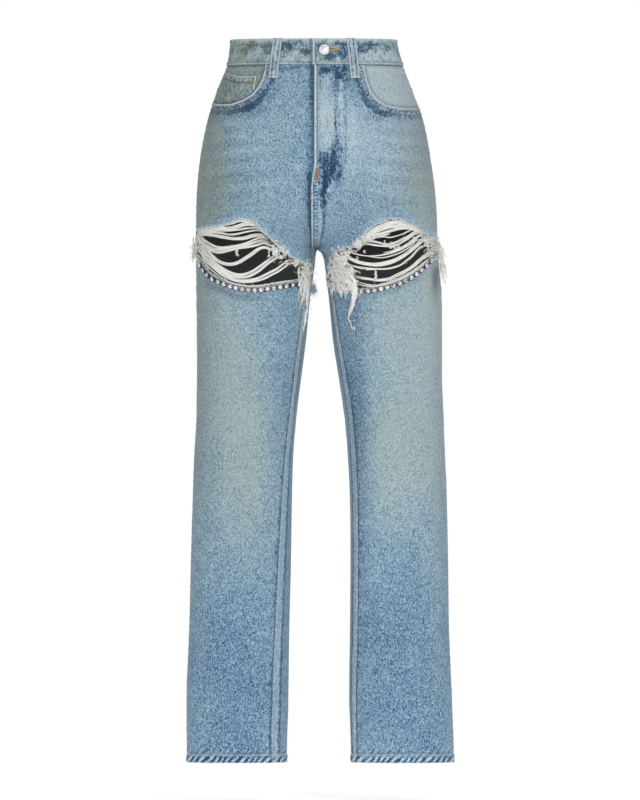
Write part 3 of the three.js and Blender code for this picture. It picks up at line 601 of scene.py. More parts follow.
def panel_marks(side, face, points, s, down):
    """The marks that the denim finish reads"""
    x, y = points[..., 0], points[..., 1]
    name = "right" if side < 0 else "left"
    from_inner, from_outer = seam_length(side, face, s, down)
    tone, tint, shade, pucker, bleach, blot, streak = (np.zeros_like(x) for _ in range(7))
    for table, grid in ((BLOTS, blot), (STREAKS, streak)):
        for _, at_x, at_down, reach_x, reach_down, strength in (row for row in table if row[0] == face):
            if side * at_x > -20:
                grid += strength * bump(x, at_x, reach_x) * bump(down, at_down, reach_down)
    for _, at_x, at_down, reach_x, reach_down, more_tone, more_tint in (w for w in WASH if w[0] == face):
        if side * at_x < -20:
            continue
        here = bump(x, at_x, reach_x) * bump(down, at_down, reach_down)
        tone, tint = tone + more_tone * here, tint + more_tint * here
    pucker += 0.75 * bump(from_outer, 4, 4)
    blot += 0.5 * bump(from_outer, 6, 4)
    tone += 0.35 * bump(from_outer, 3.5, 2) - 0.7 * bump(from_outer, 0, 1.4)
    hem = down - (LENGTH - HEM_HEIGHT)
    pucker += 1.1 * bump(hem, 5, 7)
    rope = np.sin(x * 0.62 + down * 0.5 + 1.4 * np.sin(x * 0.13))
    tone += -0.1 * smooth(-2, 2, hem) + 1.25 * rope * bump(hem, 7, 4.5) + 0.35 * rope * bump(hem, -6, 5)
    dashes = np.sin(down * 0.55 + 1.6 * np.sin(down * 0.07)) * 0.5 + 0.5
    shade += 0.5 * dashes**2 * bump(from_outer, 3.5, 3) * (1 if face == 0 else 0.6)
    shade += 0.3 * bump(hem, -2.6, 1.6) + 0.35 * bump(from_outer, 0, 1.3)
    bleach += 0.4 * bump(hem, -0.3, 0.9) + 0.35 * bump(from_outer, 3.2, 1.1)
    leg = smooth(CROTCH - 8, CROTCH + 6, down)
    if face == 0:
        for at_x, at_down, lean, reach, strength in WHISKERS:
            if side * at_x > 0:
                tone += strength * bump(x, at_x, reach) * bump(down - lean * (x - at_x), at_down, 4.5)
                tone -= 0.6 * strength * bump(x, at_x, reach) * bump(down - lean * (x - at_x), at_down + 11, 5)
        tone += leg * (0.3 * bump(from_inner, 3.5, 3.2) - 0.6 * bump(from_inner, 8.6, 1.4))
        shade += leg * 0.5 * bump(from_inner, 8.6, 1.3)
        bleach += leg * (0.3 * bump(from_inner, 6.0, 0.9) + 0.12 * bump(from_inner, 1.0, 1.0))
        pucker += leg * (0.5 * bump(from_inner, 4, 3) + 0.55 * bump(from_inner, 13, 5))
        blot += leg * 0.45 * bump(from_inner, 12, 5)
        pocket = outside_of(x, down, POCKETS[name])
        along = side * x + down
        rope = np.sin(along * 0.95 + 1.2 * np.sin(along * 0.21))
        tone += 0.6 * bump(pocket, 1.0, 1.6) + (0.1 + 0.75 * rope) * bump(pocket, 7.0, 2.6)
        pucker += 0.5 * bump(pocket, 7, 5)
        bleach += 0.95 * bump(pocket, 0.9, 1.5) + 0.25 * np.clip(rope, 0, 1) * bump(pocket, 7.4, 1.8)
        shade += 0.5 * bump(pocket, 3.6, 1.1) + 0.42 * bump(pocket, 11.0, 1.3)
        blot += 0.6 * bump(pocket, 15, 5)
        tone -= 0.35 * bump(down, 44, 4)
        pucker += 0.5 * bump(down, 46, 8)
        if side > 0:
            at_j = distance_to(x, down, J_STITCH)
            pucker += 0.9 * bump(at_j, 0, 7)
            tone += 0.35 * bump(at_j, 0, 2.2) - 0.5 * bump(at_j, 7, 4) * bump(down, 150, 110)
            bleach += 0.12 * bump(x, 9, 7) * bump(down, 112, 44)
        else:
            # Painted shadow of the lap on the right front: shade and a darker tone just beside the lap's edge.
            lap = mix(-LAP_EDGE, -FELL_EDGE, smooth(188, 226, down))
            shade += mix(0.9, 0.8, smooth(60, 240, down)) * bump(-x, -lap + 1.4, mix(3.4, 1.5, smooth(60, 150, down)))
            tone -= 0.4 * bump(-x, -lap + 4, 3) * (1 - smooth(120, 240, down))
        crotch = smooth(200, 210, down) * (1 - leg)
        pucker += crotch * bump(from_inner, 5, 5) * 0.8
        tone += crotch * (0.5 * bump(from_inner, 2.8, 1.5) - 0.8 * bump(from_inner, 6.8, 1.8))
        rip = outside_of(x, down, RIPS[name]) + 60 * smooth(1, 6, y)
        above = down < (338 if side < 0 else 330)
        tone += 0.35 * bump(rip, 0, 3.2) + 0.1 * bump(rip, 5, 6) * above
        bleach += 0.75 * bump(rip, 0, 1.9) * (0.4 + 0.6 * above)
        tint *= 1 - bump(rip, 0, 12)
        if side < 0:
            shade += 0.42 * bump(rip, 17, 5.5) * smooth(350, 378, down) * smooth(-60, -110, x) * smooth(-176, -166, x)
        else:
            shade += 0.2 * bump(rip, 15, 5) * smooth(345, 380, down) * (x < 172)
            # Painted shade on the wedge by the left side seam below the rip: darker, with a greener tint.
            shade += 0.7 * bump(x, 181, 5.5) * bump(down, 364, 24)
            tint += 0.8 * bump(x, 181, 8) * bump(down, 364, 30)
            shade += 0.35 * bump(x, 146.6, 1.4) * bump(down, 102.4, 1.4)
    else:
        yoke = down - mix(YOKE_CENTRE, YOKE_SIDE, s)
        tone += 0.7 * bump(yoke, 3.5, 2.6) - 0.7 * bump(yoke, 9.4, 2.4)
        pucker += 0.9 * bump(yoke, 6, 7) + 0.6 * bump(from_inner, 5, 6)
        tone += 0.45 * bump(from_inner, 3, 1.8) - 0.6 * bump(from_inner, 7.4, 2)
        u, v = (s - 0.37) / mix(0.24, 0.21, smooth(122, 242, down)), (down - 118) / (252 - 118)
        at_pocket = np.maximum(np.abs(u) - 1, np.abs(2 * v - 1) - 1) * 45
        tone -= 0.5 * bump(at_pocket, 2, 4)
        shade += 0.25 * bump(at_pocket, 1, 2.2)
        bleach += 0.45 * bump(yoke, 1.2, 1.2) + 0.3 * bump(from_inner, 0.8, 1.2)
    return {"blot": blot, "streak": streak, "bleach": np.clip(bleach, 0, 1), "tone": tone, "tint": np.clip(tint, 0, 1), "shade": np.clip(shade, 0, 0.8), "pucker": np.clip(pucker, 0, 1.4)}


def spread(edge_gap, middle_gap, edge_width, length):
    """Places from 0 to 1 that lie closer together near both ends"""
    gaps, at = [0.0], 0.0
    while at < length:
        near = min(at, length - at) < edge_width
        at += edge_gap if near else middle_gap
        gaps.append(min(at, length))
    return np.array(gaps) / length


ACROSS = mix(EDGE, 1 - EDGE, spread(1.4, 2.3, 15, 240))
ACROSS_BACK = mix(EDGE, 1 - EDGE, spread(1.4, 4.2, 15, 240))
HEM_ROWS = np.arange(LENGTH - 18, LENGTH + 0.1, 1.5)


def rows_from(top, fine_to, fine, coarse):
    """Distances down the cloth: close together at the top and the hem, further apart on the legs"""
    upper = np.arange(top + 12, fine_to, fine)
    return np.concatenate([np.linspace(top, top + 12, 7)[:-1], upper, np.arange(upper[-1] + coarse, LENGTH - 18.5, coarse),
                           HEM_ROWS])


def front_panel(name, side, cloth):
    relief = panel_relief(side, 0)
    s, down = np.meshgrid(ACROSS, rows_from(40.4, 400, 2.3, 4.6))
    points, normals = surface(side, 0, s, down, relief)
    x, y = points[..., 0], points[..., 1]
    ragged = 1.1 * np.sin(x * 0.9 + down * 0.5) + 0.8 * np.sin(x * 2.3 - down * 1.1)
    rip = np.maximum(outside_of(x, down, RIPS[name]) + ragged, y - 2)
    keep = np.minimum(rip, outside_of(x, down, POCKETS[name]))
    wall = WALL + 0.9 * smooth(LENGTH - HEM_HEIGHT - 1, LENGTH - HEM_HEIGHT + 1, down)
    piece = shell("front_" + name, points, normals, wall, cloth, keep, panel_marks(side, 0, points, s, down))
    return dress(piece, "denim", "front_panel_" + name)


def back_panel(name, side, cloth):
    s, row = np.meshgrid(ACROSS_BACK, rows_from(0, 60, 3, 4.4) / LENGTH)
    top = mix(YOKE_CENTRE, YOKE_SIDE, s) + 0.2
    down = mix(top, LENGTH, row)
    points, normals = surface(side, 1, s, down, panel_relief(side, 1))
    wall = WALL + 0.9 * smooth(LENGTH - HEM_HEIGHT - 1, LENGTH - HEM_HEIGHT + 1, down)
    piece = shell("back_" + name, points, normals, wall, cloth, marks=panel_marks(side, 1, points, s, down))
    return dress(piece, "denim", "back_panel_" + name)


def yoke(name, side, cloth):
    s, v = np.meshgrid(ACROSS_BACK, np.linspace(0, 1, 22))
    down = mix(BAND_HEIGHT + 0.4, mix(YOKE_CENTRE, YOKE_SIDE, s) - 0.2, v)
    points, normals = surface(side, 1, s, down, panel_relief(side, 1))
    piece = shell("yoke_cloth_" + name, points, normals, WALL, cloth, marks=panel_marks(side, 1, points, s, down))
    return dress(piece, "denim", "yoke_" + name)


def centre_lap(cloth):
    """The left front's folded edge that lies over the right front, from the fly down to the crotch"""
    v, u = np.meshgrid(np.linspace(0, 1, 150), np.linspace(0, 1, 13), indexing="ij")
    down = mix(40.6, 320.0, v)
    x = mix(mix(-LAP_EDGE, -FELL_EDGE, smooth(188, 226, down)), LAP_REACH, u)
    sewn = smooth(188, 226, down)
    ladder = np.sin(down * 1.25 + 0.8 * np.sin(down * 0.3))
    ridge = 1.5 + 0.35 * bump(u, 0.06, 0.08) - 0.4 * sewn * (bump(u, 0.34, 0.07) + bump(u, 0.9, 0.07))
    lift = ridge + 0.3 * sewn * ladder * bump(u, 0.62, 0.2) - 1.9 * smooth(0.7, 1.0, u) * (1 - 0.5 * sewn)
    points, normals = facing(0, x, down, lift)
    twist = 0.75 + 0.25 * np.sin(down * 2.1)
    marks = {"tone": 0.1 - 0.3 * sewn + 0.9 * sewn * ladder * bump(u, 0.62, 0.2), "tint": 0 * u, "pucker": 0.3 + 0.5 * sewn,
             "bleach": twist * bump(u, mix(0.24, 0.12, sewn), mix(0.2, 0.1, sewn))
             + 0.4 * sewn * np.clip(ladder, 0, 1) * bump(u, 0.62, 0.14),
             "shade": 0.8 * sewn * (bump(u, 0.31, 0.07) + bump(u, 0.93, 0.07)) + 0.7 * (1 - sewn) * bump(u, 0.66, 0.1)}
    piece = shell("front_lap", points, normals, 1.0, cloth, marks=marks)
    return dress(piece, "denim")


def seat_lap(cloth):
    """The felled seam down the middle of the seat"""
    v, u = np.meshgrid(np.linspace(0, 1, 150), np.linspace(-1, 1, 13), indexing="ij")
    down = mix(40.6, 319.0, v)
    lift = 1.1 - 0.35 * bump(np.abs(u), 0.45, 0.12) - 1.3 * smooth(0.8, 1.0, np.abs(u)) + 0.25 * np.sin(down * 0.9)
    points, normals = facing(1, u * 5.2, down, lift)
    marks = {"tone": 0.1 + 0 * u, "tint": 0.2 + 0 * u, "pucker": 0.8 + 0 * u, "bleach": 0.4 * bump(u, -0.8, 0.15),
             "shade": 0.3 * bump(np.abs(u), 0.45, 0.12)}
    piece = shell("seat_lap", points, normals, 1.0, cloth, marks=marks)
    return dress(piece, "denim")


def patch(name, side, face, s_span, down_span, lift, wall, material, gap=2.6, keep=None, marks=None, relief=None):
    """A piece of cloth that lies along the skin between two values of s and of down"""
    across = max(4, int(abs(s_span[1] - s_span[0]) * 240 / gap))
    along = max(3, int((down_span[1] - down_span[0]) / gap))
    s, down = np.meshgrid(np.linspace(*s_span, across + 1), np.linspace(*down_span, along + 1))
    points, normals = surface(side, face, s, down, relief)
    x = points[..., 0]
    points = points + normals * (lift(x, s, down)[..., None] if callable(lift) else lift)
    values = {"tone": 0 * x, "tint": 0 * x, "shade": 0 * x, "pucker": 0 * x}
    values.update(marks(x, s, down) if marks else {})
    return shell(name, points, normals, wall, material, None if keep is None else keep(x, down), values)


def pocket_facing(name, side, cloth):
    outline = POCKETS[name]

    def marks(x, s, down):
        edge = outside_of(x, down, outline)
        green = 1.0 if side < 0 else 0.35
        along_band = bump(down, 44, 5)
        return {"tone": (-0.2 if side < 0 else 0.85) + 0.3 * along_band, "tint": green + 0 * x, "blot": 0.32 + 0 * x,
                "streak": 0.3 * along_band, "shade": (0.5 if side < 0 else 0.4) * bump(edge, 0, 4.5),
                "pucker": 0.5 + 0 * x}

    def lift(x, s, down):
        return UNDER_LIFT * mix(1, 0.1, smooth(0.75, 0.97, s) * smooth(0, -4, outside_of(x, down, outline)))

    piece = patch("facing_" + name, side, 0, (0.34, 1 - EDGE), (BAND_HEIGHT + 0.4, 118), lift, LINING_WALL, cloth,
                  2.0, marks=marks)
    return dress(piece, "denim", "pocket_facing_" + name)


def coin_pocket(cloth):
    def marks(x, s, down):
        edge = outside_of(x, down, COIN_POCKET)
        top = distance_to(x, down, COIN_POCKET[:4])
        right_edge = distance_to(x, down, COIN_POCKET[3:5])
        left_seam = bump(x, -139, 1.2) + bump(x, -143, 1.0)
        crease = bump(x + 0.5 * (down - 70), -113, 1.6) * bump(down, 76, 9) + bump(x - 0.4 * (down - 70), -106, 1.4) * bump(
            down, 78, 8)
        return {"tone": -0.1 - 0.3 * bump(top, 9.5, 1.5) + 0.2 * bump(top, 4, 2), "tint": 1.0 + 0 * x,
                "bleach": 0.85 * bump(top, 0.6, 1.4) + 0.85 * bump(right_edge, 0.6, 1.4) + 0.4 * crease,
                "pucker": 0.9 * bump(edge, -5, 5) + 0.4, "blot": 0.45 + 0.35 * bump(top, 9.5, 2),
                "shade": 0.4 * bump(right_edge, 3.6, 1.0) + 0.4 * bump(top, 9.8, 0.9) + 0.3 * bump(top, 2.6, 0.8)
                + 0.4 * left_seam * (top > 8)}

    piece = patch("coin_pocket_cloth", -1, 0, (0.38, 0.86), (45, 104), -0.6, 0.9, cloth, 1.6,
                  lambda x, down: -outside_of(x, down, COIN_POCKET), marks,
                  lambda x, s, down: 0.5 * bump(outside_of(x, down, COIN_POCKET), -2, 2))
    return dress(piece, "denim", "coin_pocket")


def back_pocket(name, side, cloth):
    u, v = np.meshgrid(np.linspace(-1, 1, 61), np.linspace(0, 1, 67))
    s = 0.37 + u * mix(0.225, 0.195, v)
    point = 16 * (1 - np.abs(u))
    down = 122 + v * (120 + point)
    edge = np.minimum((1 - np.abs(u)) * 57, (1 - v) * 128)
    top = v * 128
    near = np.minimum(edge, top)
    ripple = np.sin(down * 0.6 + 55 * s) * 0.5 + 0.5
    height = 0.5 * bump(edge, 2.5, 2.5) - 0.5 * bump(edge, 6.5, 1.5) + 0.7 * smooth(20, 18, top) * ripple
    relief_height = height - 0.5 * bump(top, 19, 1.6) - 1.0 * (1 - smooth(0, 2.5, edge))
    points, normals = surface(side, 1, s, down)
    points = points + normals * (2.4 + relief_height)[..., None]
    marks = {"tone": 0.25 - 0.5 * bump(edge, 9, 3) - 0.4 * bump(top, 22, 3), "bleach": 0.65 * bump(near, 0.8, 1.2),
             "tint": 0.25 + 0 * u, "shade": 0 * u, "pucker": 0.9 * bump(near, 5, 6)}
    piece = shell("pocket_back_" + name, points, normals, 1.6, cloth, marks=marks)
    return dress(piece, "denim", "back_pocket_" + name)


def fly_shield(cloth):
    v, u = np.meshgrid(np.linspace(0, 1, 70), np.linspace(0, 1, 18), indexing="ij")
    down = mix(BAND_HEIGHT + 3, 205, v)
    points, normals = facing(0, mix(-9, mix(34, 20, v**4), u), down, UNDER_LIFT)
    zero = 0 * u
    # The shield is darkened all over in tone and shade: painted shade under the lap.
    marks = {"tone": zero - 0.6, "tint": zero, "shade": zero + 0.3, "pucker": zero}
    return dress(shell("fly_under", points, normals, LINING_WALL, cloth, marks=marks), "denim", "fly_shield")


BUTTONHOLE_SLIT = [[21, 16.2], [33.5, 16.2]]
BAND_SPOTS = [
    [-120, 12, 7, 8, 0.7], [-112, 20, 5, 5, -0.9], [-97, 10, 6, 6, -0.8], [-88, 24, 7, 6, 0.5], [-74, 13, 6, 7, -0.9],
    [-48, 14, 7, 8, -0.9], [-38, 27, 9, 6, 0.6], [-26, 12, 6, 6, 0.5], [-18, 22, 6, 6, -0.6], [-8, 10, 5, 7, 0.5],
    [22, 28, 7, 6, -0.9], [34, 12, 8, 8, -1.0], [40, 26, 6, 8, -0.8], [70, 14, 7, 6, -1.0], [84, 12, 6, 6, -0.8],
    [96, 22, 8, 7, 0.6], [108, 12, 6, 6, -0.5], [62, 28, 6, 5, 0.4], [116, 27, 7, 6, 0.5], [4, 30, 8, 6, 0.5],
    [90, 30, 22, 8, 0.6], [76, 24, 16, 10, 0.5], [-104, 30, 16, 7, 0.3], [-60, 24, 9, 7, 0.5],
]


BAND_END = -6.8


def band_relief(x, s, down):
    roll = 0.8 * bump(down, 2.5, 2.6) + 0.7 * bump(down, BAND_HEIGHT - 3.2, 2.6)
    seams = -0.7 * bump(down, 7, 1.2) - 0.7 * bump(down, BAND_HEIGHT - 7, 1.2)
    ripple = np.sin(x * 0.42 + 1.3 * np.sin(x * 0.09 + down * 0.12)) * (0.35 * bump(down, 9, 9) + 0.25 * bump(down, 32, 8))
    return roll + seams + ripple


def waistband(cloth):
    under = BAND_LIFT - BAND_WALL - 0.4
    stations = [(1, 0, s, under) for s in np.linspace(0.24, 0, 18)[:-1]]
    stations += [(-1, 0, s, mix(under, 0.2, smooth(0.03, 0.25, s))) for s in np.linspace(0, 0.26, 18)[1:]]
    stations += [(-1, 0, s, BAND_LIFT) for s in np.linspace(0.265, 0.995, 70)]
    stations += [(-1, 1, s, BAND_LIFT) for s in np.linspace(0.99, 0.004, 90)]
    stations += [(1, 1, s, BAND_LIFT) for s in np.linspace(0.004, 0.99, 90)]
    stations += [(1, 0, s, BAND_LIFT) for s in np.linspace(0.995, 0.002, 90)]
    stations += [(-1, 0, s, BAND_LIFT) for s in (0.008, 0.014, 0.02)]
    down = np.concatenate([[0, 0.9, 2], np.arange(4, 36.5, 1.9), [38, 39.2, BAND_HEIGHT]])
    rows = [surface(side, face, np.full(len(down), s), down, band_relief) for side, face, s, _ in stations]
    points, normals = np.stack([p for p, _ in rows]), np.stack([n for _, n in rows])
    lift = np.array([lift for *_, lift in stations])[:, None] - 0.9 * (bump(down, 0, 1) + bump(down, BAND_HEIGHT, 1))
    points = points + normals * lift[..., None]
    face = np.array([face for _, face, _, _ in stations])[:, None] + 0 * down
    x, d = points[..., 0], down + 0 * points[..., 0]
    tone = -0.05 + 0.55 * bump(d, 1.5, 1.8) - 0.5 * bump(d, 8, 2.2) - 0.6 * bump(d, BAND_HEIGHT - 0.5, 1.5)
    tone = tone + 0.25 * bump(d, BAND_HEIGHT - 3.5, 2) + 0.1
    ahead = smooth(40, -20, points[..., 1])
    paler = ahead * smooth(20, 45, x)
    tone = tone + 0.2 * paler
    blot = 0.2 + 0.1 * ahead - 0.1 * paler + 0.2 * ahead * bump(d, 16, 7)
    streak = 0.2 + 0.15 * bump(d, 30, 5)
    for at_x, at_down, reach_x, reach_down, more in BAND_SPOTS:
        here = bump(x, at_x, reach_x) * bump(d, at_down, reach_down) * (1 - face)
        tone = tone + 0.3 * more * here
        blot, streak = blot - min(more, 0) * here, streak + max(more, 0) * here
    tone = tone + face * 0.2 * np.sin(x * 0.23 + 2 * np.sin(x * 0.05)) * bump(d, 15, 12)
    start = smooth(17, 0, np.arange(len(stations))[::-1])[:, None] + 0 * x
    marks = {"tone": tone, "blot": blot, "streak": streak,
             "bleach": 0.35 * bump(d, 1.2, 1.2) + 0.9 * bump(x, BAND_END + 1.6, 1.5) * start * (1 - face)
             + 0.6 * bump(d, BAND_HEIGHT - 1.4, 1.1) * (1 - face),
             "tint": 0.35 - 0.2 * paler + mix(0.05, 0.6, x < 0) * smooth(40, 110, np.abs(x)) * ahead,
             "shade": 0.4 * bump(d, BAND_HEIGHT, 0.7) + 0.4 * bump(d, BAND_HEIGHT - 3.6, 0.7) * (1 - face)
             + 0.7 * (1 - face) * bump(distance_to(x, d, BUTTONHOLE_SLIT), 0, 1.2)
             + (1 - face) * (0.75 * bump(x, BAND_END - 2.2, 2.0) * (1 - start) + 0.5 * start * bump(x, BAND_END + 4.6, 0.8)),
             "pucker": 0.75 * bump(d, 8, 9) + 0.7 * bump(d, 33, 6) + 0.2}
    return dress(shell("waistband_cloth", points, normals, BAND_WALL, cloth, marks=marks), "waistband_denim", "waistband")


LOOPS = {
    "front_right": (0, -58.6, -66.4), "front_left": (0, 50.6, 58), "back_right": (1, -88, -96), "back_left": (1, 82, 90),
    "centre_back": (1, 0.1, 0.1),
}


def belt_loop(name, cloth):
    face, top_x, bottom_x = LOOPS[name]
    v, u = np.meshgrid(np.linspace(0, 1, 48), np.linspace(-0.5, 0.5, 15), indexing="ij")
    down = mix(-0.6, 61, v)
    on_band = BAND_LIFT * (1 - smooth(0.7, 0.95, v))
    lift = 2.0 + on_band + 1.9 * np.sin(math.pi * np.minimum(v / 0.8, 1))
    ridges = 0.7 * bump(np.abs(u), 0.43, 0.07) - 0.4 * bump(np.abs(u), 0.3, 0.05) + 0.35 * bump(u, 0, 0.12)
    worn = 0.25 * np.sin(v * 70 + 3 * u) * bump(np.abs(u), 0.43, 0.1)
    turned_end = 0.8 * bump(v, 0.965, 0.03) + 0.5 * bump(v, 0.03, 0.03)
    points, normals = facing(face, mix(top_x, bottom_x, v) + u * 13.2, down, lift + ridges + worn + turned_end)
    marks = {"tone": 0.25 - 0.7 * bump(np.abs(u), 0.27, 0.09) + 0.4 * bump(v, 0.97, 0.03),
             "bleach": 0.85 * bump(np.abs(u), 0.46, 0.08) + 0.3 * bump(u, 0, 0.1) + 0.5 * bump(v, 0.985, 0.012),
             "tint": 0.3 + 0 * u, "shade": 0.0 * u, "pucker": 0.5 + 0 * u}
    piece = shell("loop_" + name, points, normals, 1.3, cloth, marks=marks)
    return dress(piece, "waistband_denim", "belt_loop_" + name)


# ---- bare threads, fringe and fluff ----
# Bundles of weft threads across the rips: width, then [x, down] points
BUNDLES = {
    "right": [
        (4.5, [[-205, 292.3], [-180, 292.9], [-162, 285.7], [-147, 283.7], [-131, 281.1], [-118, 277.8],
             [-104, 279.1], [-94, 283.1]]),
        (5.5, [[-205, 294.2], [-180, 295.6], [-165, 291.0], [-149, 288.3], [-136, 289.6], [-123, 287.0],
             [-110, 283.1], [-97, 284.4], [-86, 291.0]]),
        (3, [[-205, 295.6], [-178, 296.9], [-162, 294.2], [-149, 292.3], [-134, 292.5], [-118, 291.0],
             [-102, 288.6], [-89, 289.6]]),
        (2.5, [[-205, 295.6], [-178, 297.3], [-162, 295.2], [-147, 296.2], [-136, 298.6], [-123, 297.8],
             [-107, 294.2], [-90, 292.5], [-80, 296.2]]),
        (5, [[-205, 296.9], [-180, 297.8], [-162, 299.1], [-144, 302.2], [-128, 304.8], [-112, 304.1],
             [-98, 300.4], [-86, 299.5], [-76, 304.1]]),
        (3, [[-205, 298.2], [-182, 300.2], [-172, 308.1], [-158, 316.0], [-147, 318.4], [-134, 317.6],
             [-120, 315.3], [-107, 311.4], [-97, 307.4], [-87, 303.5], [-77, 304.8]]),
        (3.5, [[-205, 300.8], [-182, 304.1], [-170, 314.0], [-158, 320.6], [-147, 321.9], [-134, 319.9],
             [-120, 317.6], [-107, 314.7], [-97, 311.4], [-83, 307.4], [-74, 308.1]]),
        (3.5, [[-205, 302.8], [-181, 308.1], [-168, 319.3], [-156, 325.5], [-145, 325.9], [-134, 323.2],
             [-120, 319.9], [-104, 317.6], [-90, 314.7], [-81, 311.0], [-70, 311.4]]),
        (2, [[-83, 311.0], [-76, 313.6], [-69, 316.0], [-64, 317.6], [-59, 322.6]]),
        (5, [[-205, 305.4], [-181, 311.4], [-170, 322.6], [-158, 334.4], [-147, 341.7], [-134, 344.4],
             [-122, 342.3], [-110, 335.7], [-99, 328.5], [-90, 321.9], [-80, 318.4], [-69, 322.6],
             [-59, 327.2]]),
        (3.5, [[-205, 309.4], [-182, 316.0], [-170, 329.2], [-157, 341.7], [-145, 350.2], [-134, 356.2],
             [-120, 360.1], [-110, 359.5], [-99, 355.5], [-89, 348.9], [-78, 341.0], [-68, 333.8],
             [-57, 329.2]]),
        (3.5, [[-205, 311.4], [-182, 318.0], [-171, 332.4], [-158, 345.0], [-145, 354.2], [-132, 360.8],
             [-119, 363.7], [-108, 363.7], [-98, 360.1], [-87, 353.5], [-77, 344.7], [-65, 336.8],
             [-53, 332.4], [-45, 335.7]]),
        (3.5, [[-205, 314.0], [-183, 321.3], [-172, 335.7], [-158, 347.6], [-145, 357.5], [-132, 364.7],
             [-118, 368.4], [-104, 368.7], [-93, 366.7], [-82, 362.1], [-72, 357.1], [-61, 351.5],
             [-52, 345.0], [-43, 338.4], [-31, 339.0]]),
        (3, [[-205, 316.0], [-182, 323.9], [-172, 338.4], [-158, 350.9], [-145, 360.8], [-131, 367.6],
             [-118, 371.0], [-103, 371.0], [-90, 369.3], [-78, 365.4], [-68, 360.1], [-57, 354.8],
             [-48, 348.3], [-39, 342.3], [-27, 342.3]]),
        (1.6, [[-205, 318.6], [-182, 329.2], [-176, 336.4], [-165, 348.3], [-154, 357.7], [-144, 365.4],
             [-131, 372.0], [-116, 375.9], [-102, 377.6], [-87, 376.8], [-70, 373.9], [-52, 370.6],
             [-36, 368.0], [-20, 365.8]]),
    ],
    "left": [
        (6, [[63, 311.6], [72, 303.3], [83, 293.8], [96, 286.9], [111, 281.1], [126, 279.9], [139, 283.1],
             [149, 288.1], [164, 291.9], [204, 302.1]]),
        (6, [[60, 313.5], [69, 307.2], [81, 298.9], [93, 292.6], [109, 287.5], [124, 285.0], [137, 285.0],
             [148, 289.4], [164, 294.5], [204, 304.6]]),
        (4, [[67, 311.0], [77, 304.0], [88, 299.5], [101, 296.4], [114, 292.6], [126, 289.4],
             [137, 288.8], [149, 290.7]]),
        (2.5, [[67, 311.6], [78, 306.5], [91, 302.1], [104, 299.5], [112, 297.3]]),
        (1.8, [[83, 305.2], [100, 302.1], [111, 303.3], [123, 300.4], [134, 296.4], [144, 291.9],
             [154, 290.7], [204, 305.9]]),
        (3, [[66, 312.2], [76, 309.1], [86, 309.1], [96, 311.6], [106, 313.5], [118, 311.2], [129, 306.5],
             [140, 301.4], [150, 294.5], [162, 294.5], [204, 307.2]]),
        (3, [[66, 314.1], [76, 312.9], [88, 314.8], [101, 316.3], [111, 316.3], [121, 314.8],
             [132, 309.1], [143, 302.1], [153, 296.4], [163, 295.7], [204, 308.4]]),
        (1.8, [[38, 321.1], [44, 323.0], [54, 327.7], [68, 330.7], [83, 332.0], [101, 330.2],
             [116, 326.4], [130, 321.1], [140, 315.4], [150, 308.4], [161, 300.8], [204, 309.7]]),
        (1.6, [[76, 331.8], [88, 334.0], [101, 334.3], [114, 331.3], [126, 326.8], [137, 321.1],
             [147, 314.1], [157, 306.5], [204, 310.3]]),
        (3, [[101, 327.4], [116, 324.3], [130, 318.6], [140, 312.5], [150, 304.9], [159, 299.5],
             [166, 298.3], [204, 309.1]]),
        (4, [[28, 326.8], [36, 330.2], [45, 332.5], [55, 337.8], [68, 341.7], [83, 343.9], [98, 342.9],
             [111, 339.9], [124, 335.1], [137, 327.2], [147, 319.2], [156, 312.2], [164, 305.9], [204, 311.6]]),
        (3, [[29, 330.0], [38, 332.8], [48, 336.1], [58, 340.8], [71, 344.2], [84, 346.2], [98, 345.5],
             [112, 342.4], [125, 337.0], [137, 329.4], [148, 321.1], [158, 312.9], [168, 308.4], [204, 312.9]]),
        (1.6, [[28, 336.3], [39, 340.8], [46, 343.7], [57, 347.5], [68, 350.9], [81, 352.2], [93, 352.2]]),
        (2.6, [[50, 346.5], [63, 349.0], [78, 350.7], [93, 351.5], [106, 351.5], [118, 349.0],
             [128, 345.2], [136, 338.9], [144, 333.2], [152, 324.9], [158, 319.2], [168, 316.0], [204, 314.8]]),
        (2.4, [[28, 333.8], [35, 338.9], [41, 346.5], [53, 352.2], [66, 357.9]]),
        (4.5, [[50, 361.7], [66, 364.9], [78, 366.8], [93, 368.7], [109, 366.8], [121, 361.7],
             [134, 355.6], [147, 347.1], [156, 338.9], [164, 331.9], [173, 326.2], [204, 319.8]]),
        (4, [[139, 354.1], [149, 346.5], [158, 338.9], [167, 332.5], [176, 327.4], [204, 321.1]]),
        (1.8, [[50, 366.8], [63, 371.2], [76, 374.6], [91, 375.9], [106, 372.5], [121, 367.4],
             [134, 361.4], [147, 353.5], [158, 345.2], [170, 336.3], [204, 322.4]]),
        (1.8, [[50, 370.6], [63, 374.4], [76, 377.2], [91, 377.9], [106, 374.6], [121, 369.6],
             [134, 363.6], [147, 356.0], [159, 347.1], [170, 339.5], [204, 323.6]]),
    ],
}
